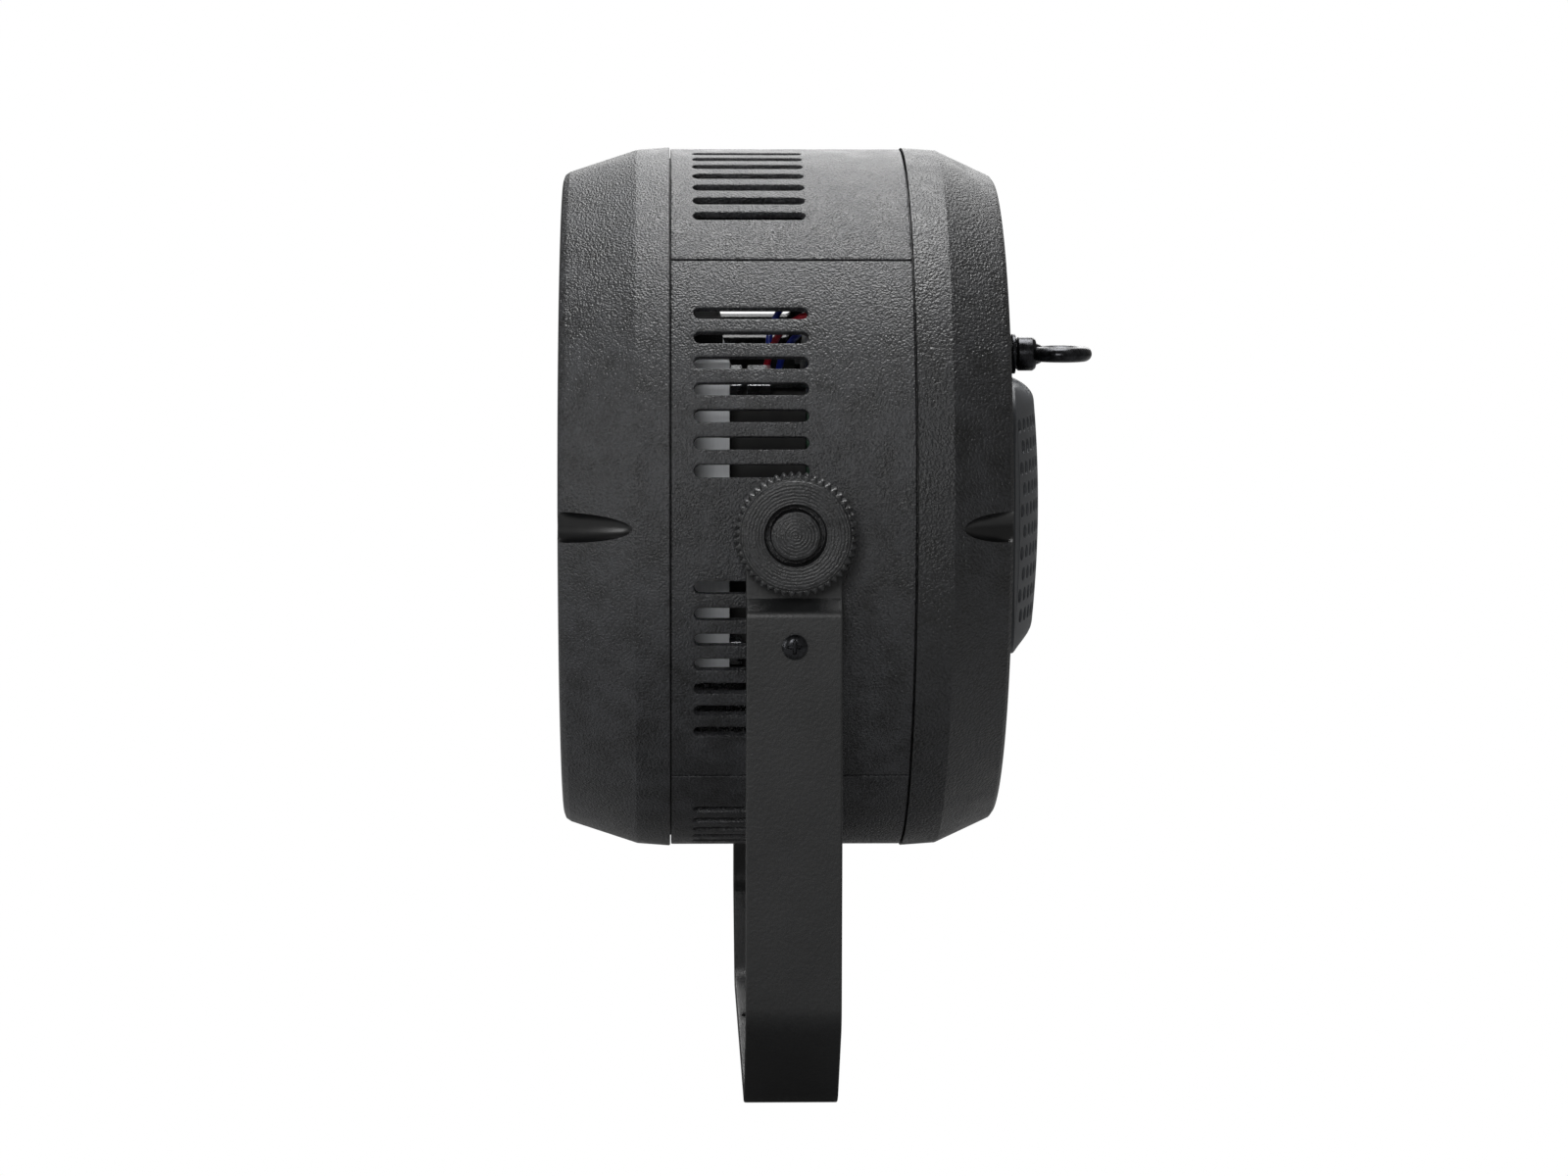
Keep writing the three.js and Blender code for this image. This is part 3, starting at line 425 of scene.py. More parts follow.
def densify(path, step):
    # extra points along every straight longer than step
    pieces = []
    for a, b in zip(path[:-1], path[1:]):
        count = max(1, math.ceil(np.linalg.norm(b - a) / step))
        pieces.append(a + (b - a) * np.linspace(0, 1, count, endpoint=False)[:, None])
    return np.concatenate(pieces + [path[-1:]])


def turned(profile, columns=96, axis="y", centre=(0.0, 0.0, 0.0), closed=True):
    # a profile of (radius, height) carried round the y or x axis: r cos a, r sin a, height
    profile = np.asarray(profile, float)
    a = np.linspace(0, 2 * np.pi, columns, endpoint=False)
    r, h = profile[:, :1], profile[:, 1:]
    u, v, w = r * np.cos(a), r * np.sin(a), h + 0 * a
    points = np.stack([u, w, v] if axis == "y" else [w, u, v], -1)
    return sheet(points + np.asarray(centre), wrapRows=closed, wrapColumns=True)


def roundRect(halfU, halfV, corner, steps=6):
    # outline of a rounded rectangle as an (n, 2) loop
    corners = [(halfU, halfV), (-halfU, halfV), (-halfU, -halfV), (halfU, -halfV)]
    return filletPath(corners, corner, steps, closed=True)


def block(outline, low, high, edge, centre, steps=3):
    # an outline's closed prism along y, its rims rounded by rings drawn inwards
    loop = densify(np.vstack([outline, outline[:1]]), 4.0)[:-1]
    middle = loop.mean(0)
    ahead = np.roll(loop, -1, 0) - np.roll(loop, 1, 0)
    normal = np.stack([ahead[:, 1], -ahead[:, 0]], -1) / np.linalg.norm(ahead, axis=1)[:, None]
    if np.sum(normal * (loop - middle)) < 0:
        normal = -normal
    a = np.linspace(0, np.pi / 2, steps + 1)
    rings = [(edge * (1 - math.sin(t)), low + edge * (1 - math.cos(t))) for t in a]
    rings += [(edge * (1 - math.cos(t)), high - edge * (1 - math.sin(t))) for t in a]
    rows = [np.c_[0 * loop + middle, np.full(len(loop), low)]]
    rows += [np.c_[loop - normal * inset, np.full(len(loop), height)] for inset, height in rings]
    rows += [np.c_[0 * loop + middle, np.full(len(loop), high)]]
    points = np.stack(rows)
    points[..., :2] += centre
    u, v, w = points[..., 0], points[..., 1], points[..., 2]
    return sheet(np.stack([u, w, v], -1), wrapColumns=True)


def loopAround(columnSpan, rowSpan):
    # grid indices once round a block of cells
    (i0, i1), (j0, j1) = columnSpan, rowSpan
    i = np.r_[np.arange(i0, i1), np.full(j1 - j0, i1), np.arange(i1, i0, -1), np.full(j1 - j0, i0)]
    j = np.r_[np.full(i1 - i0, j0), np.arange(j0, j1), np.full(i1 - i0, j1), np.arange(j1, j0, -1)]
    return i, j


def shellWithHoles(outer, inner, holes, wrap=False, closeEdges=True):
    # two skins of (columns, rows, 3) points; each hole swaps a block of cells for rings that run
    # from the outer skin down the hole's wall and, where it goes through, back to the inner skin
    columns, rows = outer.shape[:2]
    cells = (columns if wrap else columns - 1, rows - 1)
    keep = {"outer": np.ones(cells, bool), "inner": np.ones(cells, bool)}
    parts = []
    for hole in holes:
        i, j = loopAround(*hole["block"])
        (i0, i1), (j0, j1) = hole["block"]
        edge = outer[i % columns, j]
        rings = hole["rings"](edge)
        stack = [edge] + [edge + (rings[0] - edge) * f for f in hole.get("ease", (0.6,))] + list(rings)
        keep["outer"][i0:i1, j0:j1] = False
        if hole.get("through", True):
            keep["inner"][i0:i1, j0:j1] = False
            stack.append(inner[i % columns, j])
        parts.append(sheet(np.stack(stack), wrapColumns=True))
    quads = gridQuads(columns, rows, wrapRows=wrap)
    parts.append((outer.reshape(-1, 3), quads[keep["outer"].ravel()]))
    parts.append((inner.reshape(-1, 3), quads[keep["inner"].ravel()]))
    if closeEdges:
        parts.append(sheet(np.stack([outer[:, 0], inner[:, 0]]), wrapColumns=wrap))
        parts.append(sheet(np.stack([outer[:, -1], inner[:, -1]]), wrapColumns=wrap))
        if not wrap:
            parts.append(sheet(np.stack([outer[0], inner[0]])))
            parts.append(sheet(np.stack([outer[-1], inner[-1]])))
    return parts


def edgeDrop(distance, radius):
    # how far a rounded border falls below the face at a distance from the border
    inside = np.clip(1 - distance / radius, 0, 1)
    return radius * (1 - np.sqrt(1 - inside ** 2))


def fromCore(core, radius):
    # an outline at radius from a core shape: core(p) gives the core's nearest point to p
    def outline(flat, offset=0.0):
        nearest = core(flat)
        away = flat - nearest
        away /= np.maximum(np.linalg.norm(away, axis=1), 1e-9)[:, None]
        return nearest + away * (radius + offset)
    return outline


def rectCore(centre, half):
    # nearest point of a rectangle: the point held between the rectangle's sides, a spot where half is 0
    centre, half = np.asarray(centre, float), np.asarray(half, float)
    return lambda flat: centre + np.clip(flat - centre, -half, half)


# Casing: front ring and rear cover
scallops = {
    # an ellipsoid laid along the cone and open at the rim: centre (r, y), radii (along, normal, across)
    "front": {"centre": (107.4, -72.4), "radii": (24.0, 4.4, 4.8), "along": (-7.2, -21.8)},
    "rear": {"centre": (106.6, 67.6), "radii": (16.5, 4.4, 4.8), "along": (-8.2, 17.6)},
}
warpHalf = math.radians(6.0)


def scallopFrame(scallop, r, y):
    # distances along, normal to and on the ellipsoid's axes for points (r, y)
    along = np.asarray(scallop["along"]) / np.linalg.norm(scallop["along"])
    normal = np.array([abs(along[1]), -along[0] * np.sign(along[1])])
    normal = normal if normal[0] > 0 else -normal
    du, dv = r - scallop["centre"][0], y - scallop["centre"][1]
    return du * along[0] + dv * along[1], du * normal[0] + dv * normal[1], normal


def ringGrid(profile, restAngles, scallop, reach):
    # profile rows by angle columns; near 0 and 180 degrees the columns follow the scallop's outline,
    # and points over the ellipsoid drop onto it along the cone's normal
    r, y = profile[:, 0], profile[:, 1]
    a, b, _ = scallopFrame(scallop, r, y)
    ra, rb, rc = scallop["radii"]
    room = 1 - (a / ra) ** 2 - (b / rb) ** 2
    half = rc * np.sqrt(np.clip(room, 0, None)) * (np.arange(len(r)) < reach)
    half = np.maximum(half, 1.2) / r
    k = np.linspace(-1, 1, 25)
    t = np.linspace(0, 1, 7)[1:]
    near = half[:, None] * k
    right = half[:, None] + (warpHalf - half[:, None]) * t
    zone = np.concatenate([-right[:, ::-1], near, right], 1)
    upper = np.broadcast_to(restAngles[restAngles > 0], (len(r), np.sum(restAngles > 0)))
    lower = np.broadcast_to(restAngles[restAngles < 0], (len(r), np.sum(restAngles < 0)))
    angles = np.concatenate([zone, upper, np.pi + zone, 2 * np.pi + lower], 1)
    radius = np.broadcast_to(r[:, None], angles.shape)
    x, z = radius * np.cos(angles), radius * np.sin(angles)
    height = np.broadcast_to(y[:, None], angles.shape).copy()
    a, b, normal = scallopFrame(scallop, np.abs(x), height)
    room = 1 - (a / ra) ** 2 - (z / rc) ** 2
    floor = -rb * np.sqrt(np.clip(room, 0, None))
    drop = np.where((room > 0) & (b > floor) & (np.arange(len(r)) < reach)[:, None], b - floor, 0)
    x = x - np.sign(x) * normal[0] * drop
    height = height - normal[1] * drop
    return np.stack([x, height, z], -1), angles


frontRing = {
    "outer": [(115.4, -38.2), (114.6, -48.6), (107.4, -70.4), (106.3, -72.0), (104.6, -72.6),
              (99.0, -72.6), (96.0, -68.6), (96.0, -66.6), (99.5, -66.6)],
    "radii": [0, 0.8, 1.6, 0.6, 0.6, 0.8, 0.4, 0.2, 0],
    "inner": [(99.5, -66.6), (104.4, -62.4), (110.0, -48.6), (109.6, -33.35), (111.9, -33.35),
              (111.9, -37.85), (115.0, -37.85), (115.4, -38.2)],
}


def polishScallops(piece, scallop):
    # faces lying on the ellipsoid take the polished finish
    mesh = piece.data
    mesh.materials.append(smoothAbs)
    centres = np.empty(len(mesh.polygons) * 3)
    mesh.polygons.foreach_get("center", centres)
    x, y, z = (centres.reshape(-1, 3) * 1000 - (0, 0, pivotHeight)).T
    a, b, _ = scallopFrame(scallop, abs(x), y)
    ra, rb, rc = scallop["radii"]
    inside = ((a / ra) ** 2 + (b / rb) ** 2 + (z / rc) ** 2 < 1.01) & (abs(z) < rc)
    mesh.polygons.foreach_set("material_index", inside.astype(np.int32))


def buildFrontRing():
    # the section's outer side with finely spaced rows, then its inner side, closed as a loop
    outer = filletPath(frontRing["outer"], frontRing["radii"], 4)
    outer = densify(outer, 0.9)
    inner = densify(np.asarray(frontRing["inner"], float), 6.0)[1:]
    profile = np.concatenate([outer, inner[:-1]])
    rest = np.radians(np.r_[np.linspace(8, 172, 83), np.linspace(-172, -8, 83)])
    points, _ = ringGrid(profile, rest, scallops["front"], len(outer) - 14)
    parts = [sheet(points, wrapRows=True, wrapColumns=True)]
    ring = makePiece("frontRing", parts, "head", mouldedAbs, ["front_ring"], sharp=24)
    polishScallops(ring, scallops["front"])


buildFrontRing()
print("front ring made")

rearCover = {
    "band": [(115.4, 38.2), (114.6, 49.4), (106.4, 67.0), (104.8, 68.1), (98.0, 68.6484)],
    "bandRadii": [0, 0.8, 1.4, 0.8, 0],
    "faceRows": [95.5, 93, 91, 89, 87, 85, 83, 81, 80, 76, 72, 68, 64, 60, 56.5, 53, 50, 47, 44, 41,
                 39, 38.4, 38.1, 38],
    "faceY": 70.1, "flatRadius": 80.0, "rimFall": 2.0 / 24.8, "wall": 2.5, "edge": 0.6,
    "bayFloor": 61.0, "pocketFloor": 63.3, "screwFloor": 68.0,
    "bay": {"disc": 90.0, "top": -55.0, "corner": 6.0},
    "pocket": {"centre": (40.0, 64.0), "half": (16.5, 13.3), "corner": 2.0, "window": (13.3, 9.8)},
    "screws": (36, 144, -26, -154), "screwRing": 86.0,
}


def rearFace(r):
    # height of the rear face over radius: flat, then falling gently to the rim
    return rearCover["faceY"] - np.clip(r - rearCover["flatRadius"], 0, None) * rearCover["rimFall"]


def onFace(flat, depth):
    # (x, z) points set at a depth below the rear face
    return np.stack([flat[:, 0], rearFace(np.linalg.norm(flat, axis=1)) - depth, flat[:, 1]], -1)


def atHeight(flat, y):
    # (x, z) points set level at y
    return np.stack([flat[:, 0], np.full(len(flat), y), flat[:, 1]], -1)


def roundedMouth(outline, flat, edge):
    # three rings that roll the face over into a hole's wall
    return [onFace(outline(flat, edge * (1 - math.sin(t))), edge * (1 - math.cos(t))) for t in (0, 0.55, 1.1, 1.57)]


def bayCore(flat):
    # nearest point of a disc cut straight across its top
    disc, top = rearCover["bay"]["disc"], rearCover["bay"]["top"]
    size = np.linalg.norm(flat, axis=1)[:, None]
    onDisc = flat * np.minimum(1, disc / size)
    onTop = np.stack([flat[:, 0], np.minimum(flat[:, 1], top)], -1)
    reach = math.sqrt(disc ** 2 - top ** 2)
    corner = np.stack([np.sign(flat[:, 0]) * reach, np.full(len(flat), top)], -1)
    discFits = onDisc[:, 1:] <= top
    topFits = np.linalg.norm(onTop, axis=1)[:, None] <= disc
    return np.where(discFits, onDisc, np.where(topFits, onTop, corner))


def bayRings(edgeLoop):
    # the control bay's wall: over the mouth, straight down, out under the floor and back up outside
    flat = edgeLoop[:, [0, 2]]
    outline = fromCore(bayCore, rearCover["bay"]["corner"])
    floor = rearCover["bayFloor"]
    rings = roundedMouth(outline, flat, rearCover["edge"])
    rings += [atHeight(outline(flat), floor - 2.4), atHeight(outline(flat, 2), floor - 2.4)]
    return rings + [onFace(outline(flat, 2), rearCover["wall"])]


def pocketRings(side):
    # a power pocket: over the mouth, down to a ledge, in to the window, through and back up outside
    setting = rearCover["pocket"]
    centre = (setting["centre"][0] * side, setting["centre"][1])
    corner = setting["corner"]
    pocket = fromCore(rectCore(centre, np.subtract(setting["half"], corner)), corner)
    window = fromCore(rectCore(centre, np.subtract(setting["window"], 0.5)), 0.5)

    def rings(edgeLoop):
        flat = edgeLoop[:, [0, 2]]
        floor = rearCover["pocketFloor"]
        found = roundedMouth(pocket, flat, rearCover["edge"])
        found += [atHeight(pocket(flat), floor), atHeight(window(flat), floor), atHeight(window(flat), floor - 2)]
        return found + [atHeight(pocket(flat, 2), floor - 2), onFace(pocket(flat, 2), rearCover["wall"])]
    return rings


def screwRings(angle):
    # a blind round pocket for a cover screw, centred at ring * (cos a, sin a)
    ring = rearCover["screwRing"]
    centre = np.array([ring * math.cos(angle), ring * math.sin(angle)])
    bore = fromCore(rectCore(centre, (0, 0)), 3.4)

    def rings(edgeLoop):
        flat = edgeLoop[:, [0, 2]]
        floor = rearCover["screwFloor"]
        found = [onFace(bore(flat, 0.25), 0), onFace(bore(flat), 0.25), atHeight(bore(flat), floor)]
        # a shallow seat under the head
        found += [atHeight(bore(flat, -1.6), floor), atHeight(bore(flat, -1.6), floor - 0.6)]
        return found + [atHeight(0 * flat + centre, floor - 0.6)]
    return rings


def buildRearCover():
    # one sheet of angle columns and profile rows from the seam over the rim to the fan opening
    band = densify(filletPath(rearCover["band"], rearCover["bandRadii"], 4), 0.9)
    faceRadii = np.array(rearCover["faceRows"], float)
    edge = edgeDrop(faceRadii - 38, rearCover["edge"])
    face = np.stack([faceRadii, rearFace(faceRadii) - edge], -1)
    outerProfile = np.concatenate([band, face])
    r, y = outerProfile.T
    innerR = np.where(y < 49.4, np.minimum(r - 5.2, 109.8), np.where(y < 67.9, r - 4.6, r))
    innerR = np.where(np.arange(len(r)) >= len(band) - 1, r, np.minimum(innerR, 109.8))
    innerR = np.where(np.arange(len(r)) >= len(band) - 1, innerR, np.maximum(innerR, 98.5))
    innerY = np.where(y < 49.4, y, np.minimum(y, np.interp(innerR, [101.4, 110.0], [65.4, 49.4])))
    innerY = np.where(np.arange(len(r)) >= len(band) - 1, rearFace(r) - rearCover["wall"], innerY)
    upper = np.r_[[8, 11, 14, 17, 20, 23, 26, 29, 31], np.arange(33, 40)]
    upper = np.r_[upper, np.linspace(40, 75, 19), [77.5, 80, 82.5, 85, 87.5]]
    upper = np.r_[upper, 90, 180 - upper[::-1]]
    lower = np.r_[[-8, -11, -14, -17, -20], -np.arange(23, 30), np.linspace(-30, -90, 31)]
    lower = np.sort(np.r_[-180 - lower[:-1], lower])
    rest = np.radians(np.r_[upper, lower])
    outer, angles = ringGrid(outerProfile, rest, scallops["rear"], len(band) + 1)
    outer = outer.transpose(1, 0, 2)
    columnAngles = np.degrees(angles[-1])
    a = angles[-1]
    inner = np.stack([np.cos(a)[:, None] * innerR, 0 * a[:, None] + innerY, np.sin(a)[:, None] * innerR], -1)

    def span(low, high):
        low, high = low % 360, high % 360
        return int(np.argmin(abs(columnAngles - low))), int(np.argmin(abs(columnAngles - high)))

    def rows(large, small):
        radii = outerProfile[:, 0]
        index = np.arange(len(radii))
        start = int(index[np.argmin(abs(radii - large) + (index < len(band) - 1) * 99)])
        return start, int(np.argmin(abs(radii - small)))

    holes = [
        {"block": (span(-150, -30), rows(98, 47)), "rings": bayRings, "ease": (0.5, 0.85)},
        {"block": (span(40, 75), rows(98, 53)), "rings": pocketRings(1), "ease": (0.5, 0.85)},
        {"block": (span(105, 140), rows(98, 53)), "rings": pocketRings(-1), "ease": (0.5, 0.85)},
    ]
    for angle in rearCover["screws"]:
        holes.append({
            "block": (span(angle - 3, angle + 3), rows(91, 81)),
            "rings": screwRings(math.radians(angle)), "through": False,
        })
    parts = shellWithHoles(outer, inner, holes, wrap=True)
    # the seam's spigot and the eye bolt's boss
    spigot = [(111.9, 38.2), (111.9, 33.35), (109.6, 33.35), (109.6, 38.2)]
    parts.append(turned(spigot, 180))
    boss = filletPath([(0.01, 66.0), (7.0, 66.0), (7.0, 75.0), (0.01, 75.0)], [0, 0, 0.6, 0], 4)
    parts.append(turned(boss, 48, centre=(0, 0, 47.6), closed=False))
    cover = makePiece("rearCover", parts, "head", coarseAbs, ["rear_cover"], sharp=24)
    polishScallops(cover, scallops["rear"])


buildRearCover()
print("rear cover made")


# Casing: four slotted quarter panels
panel = {
    "radius": 114.9, "wall": 2.4, "halfAngle": 44.83, "halfLength": 37.55, "edge": 0.35,
    "firstSlot": 9.0, "pitch": 4.27, "count": 7,
    "slotFront": -30.6, "slotRear": 4.8, "slotWidth": 4.0, "slotEdge": 0.3,
}


def buildPanel(name, node, centreAngle, isSide):
    # angle columns by length rows on the cylinder; slot blocks between column lines half a pitch apart
    radius, pitch = panel["radius"], panel["pitch"]
    first = panel["firstSlot"] - pitch / 2
    last = first + pitch * panel["count"]
    border = panel["halfAngle"] - np.array([0.0, 0.03, 0.09, 0.18, 0.6])
    side = np.linspace(first, last, 6 * panel["count"] + 1)
    side = np.r_[side, np.linspace(last, border[-1], 4)[1:], border[-2::-1]]
    columns = np.r_[-side[::-1], np.linspace(-first, first, 8)[1:-1], side]
    half = panel["halfLength"]
    low, high = panel["slotFront"] - 2.4, panel["slotRear"] + 2.4
    ends = np.array([0.0, 0.9, 1.9, 2.9, 3.7, 4.5])
    slotRows = np.r_[low + ends, np.linspace(low + 4.5, high - 4.5, 7)[1:-1], high - ends[::-1]]
    rim = np.array([0.0, 0.06, 0.18, 0.36, 1.2])
    rows = np.r_[-half + rim, (-half + 1.2 + low) / 2, slotRows]
    rows = np.r_[rows, np.linspace(high, half - 1.2, 8)[1:-1], half - rim[::-1]]
    a, y = np.meshgrid(np.radians(columns), rows, indexing="ij")
    gap = np.minimum(radius * (math.radians(panel["halfAngle"]) - abs(a)), half - abs(y))
    top = radius - edgeDrop(gap, panel["edge"])

    def onCylinder(s, y, r):
        turn = s + math.radians(centreAngle)
        return np.stack([r * np.cos(turn), y + 0 * turn, r * np.sin(turn)], -1)

    middle = (panel["slotFront"] + panel["slotRear"]) / 2
    reach = (panel["slotRear"] - panel["slotFront"] - panel["slotWidth"]) / 2

    def slotRings(angle):
        outline = fromCore(rectCore((math.radians(angle) * radius, middle), (0, reach)), panel["slotWidth"] / 2)

        def rings(edgeLoop):
            turn = np.arctan2(edgeLoop[:, 2], edgeLoop[:, 0]) - math.radians(centreAngle)
            turn = (turn + np.pi) % (2 * np.pi) - np.pi
            flat = np.stack([turn * radius, edgeLoop[:, 1]], -1)
            edge, wall = panel["slotEdge"], panel["wall"]
            steps = [(edge, 0), (edge * 0.3, edge * 0.3), (0, edge), (0, wall - 0.2), (0.2, wall)]
            flats = [(outline(flat, offset), depth) for offset, depth in steps]
            return [onCylinder(f[:, 0] / radius, f[:, 1], radius - depth) for f, depth in flats]
        return rings

    holes = []
    for sign in (1, -1):
        for i in range(panel["count"]):
            angle = sign * (panel["firstSlot"] + i * pitch)
            i0 = int(np.argmin(abs(columns - (angle - pitch / 2))))
            j0 = int(np.argmin(abs(rows - low)))
            block = ((i0, i0 + 6), (j0, j0 + len(slotRows) - 1))
            holes.append({"block": block, "rings": slotRings(angle), "ease": (0.6,)})
    outer = onCylinder(a, y, top)
    inner = onCylinder(a, y, radius - panel["wall"] + 0 * a)
    parts = shellWithHoles(outer, inner, holes)
    if isSide:
        sign = 1 if centreAngle == 0 else -1
        pad = filletPath([(4.3, 112.0), (4.3, 115.4), (16.0, 115.4), (16.0, 112.0)], [0, 0.2, 0.5, 0], 3)
        boss = [(4.3, 99.0), (4.3, 112.8), (12.5, 112.8), (12.5, 99.0)]
        for profile in (pad, boss):
            parts.append(turned(np.asarray(profile) * (1, sign), 64, axis="x"))
    makePiece(name, parts, "head", mouldedAbs, [node], sharp=28)


buildPanel("sidePanelRight", "side_panel_right", 0, True)
buildPanel("topPanel", "top_panel", 90, False)
buildPanel("sidePanelLeft", "side_panel_left", 180, True)
buildPanel("bottomPanel", "bottom_panel", 270, False)
print("quarter panels made")


# Arched fan grille
grille = {
    "centreZ": -3.0, "halfX": 64.0, "halfZ": 43.0, "corner": 12.0, "base": 70.4,
    "crest": 83.9, "sag": 360.0, "crown": 1.5, "crownReach": 34.0, "wall": 2.0, "shoulder": 6.5,
    "pitchX": 6.7, "pitchZ": 6.8, "rows": 10, "longRow": 18, "hole": 4.6,
}


def grilleArch(x, z):
    # a wide arch across x with a slight crown across z
    return grille["crest"] - x ** 2 / grille["sag"] - grille["crown"] * (z / grille["crownReach"]) ** 2


def buildGrille():
    # a square lattice whose blocks of four cells hold the staggered holes, then rings round the
    # lattice that roll over the shoulder, down the skirt and back up inside
    cellX, cellZ = grille["pitchX"] / 4, grille["pitchZ"] / 4
    x = (np.arange(grille["longRow"] * 4 + 1) - grille["longRow"] * 2) * cellX
    z = (np.arange(grille["rows"] * 4 + 1) - grille["rows"] * 2) * cellZ
    gx, gz = np.meshgrid(x, z, indexing="ij")
    shift = (0, 0, grille["centreZ"])
    outer = np.stack([gx, grilleArch(gx, gz), gz], -1) + shift
    inner = outer - (0, grille["wall"], 0)

    def holeRings(centre):
        outline = fromCore(rectCore(centre, (0, 0)), grille["hole"] / 2)

        def rings(edgeLoop):
            flat = edgeLoop[:, [0, 2]] - (0, grille["centreZ"])
            found = []
            for offset, depth in ((0.2, 0), (0, 0.2), (0, grille["wall"])):
                ring = outline(flat, offset)
                found.append(np.stack([ring[:, 0], grilleArch(*ring.T) - depth, ring[:, 1]], -1) + shift)
            return found
        return rings

    holes = []
    for row in range(grille["rows"]):
        outerRow = row % 2 == 1
        count = grille["longRow"] - (0 if outerRow else 1)
        for k in range(count):
            i0 = 4 * k + (0 if outerRow else 2)
            centre = (x[i0 + 2], z[4 * row + 2])
            holes.append({"block": ((i0, i0 + 4), (4 * row, 4 * row + 4)), "rings": holeRings(centre), "ease": ()})
    parts = shellWithHoles(outer, inner, holes, closeEdges=False)
    i, j = loopAround((0, len(x) - 1), (0, len(z) - 1))
    edge = np.stack([x[i], z[j]], -1)
    corner = grille["corner"]
    outline = fromCore(rectCore((0, 0), (grille["halfX"] - corner, grille["halfZ"] - corner)), corner)
    rim = outline(edge)

    def ring(inset, lowered):
        # between the lattice's edge and the rim, an inset in mm from the rim
        depth = np.linalg.norm(rim - edge, axis=1)
        t = np.clip(1 - inset / depth, 0, 1)[:, None]
        flat = edge + (rim - edge) * t
        arch = grilleArch(*flat.T)
        share = edgeDrop(np.maximum(inset, 0), grille["shoulder"]) / grille["shoulder"]
        fall = (arch - grille["base"] - 1.5) * share
        return np.stack([flat[:, 0], arch - fall - lowered, flat[:, 1]], -1) + shift

    wall = grille["wall"]
    insets = [6.5, 5.2, 4.0, 3.0, 2.1, 1.4, 0.8, 0.4, 0.12, 0.0]
    loops = [outer[i, j]] + [ring(inset, 0) for inset in insets]
    foot = loops[-1].copy()
    foot[:, 1] = grille["base"]
    innerFoot = ring(wall, 0)
    innerFoot[:, 1] = grille["base"]
    loops += [foot, innerFoot] + [ring(inset, wall) for inset in (2.2, 3.2, 4.6, 6.5)] + [inner[i, j]]
    parts.append(sheet(np.stack(loops), wrapColumns=True))
    makePiece("fanGrille", parts, "head", grilleAbs, ["fan_grille"], sharp=35)


buildGrille()
print("fan grille made")


# Yoke
yoke = {
    "path": [(119.5, 0.0), (119.5, -21.0), (123.5, -25.4), (123.5, -152.0), (95.0, -182.5)],  # (x, z)
    "base": -182.5, "bends": [0, 2, 2, 13, 13], "thick": 3.0, "halfWidth": 14.8, "edge": 0.6,
    "clampHole": 5.5, "slotRadius": 32.0, "slotWidth": 9.0, "slotHalf": 16.0,
}


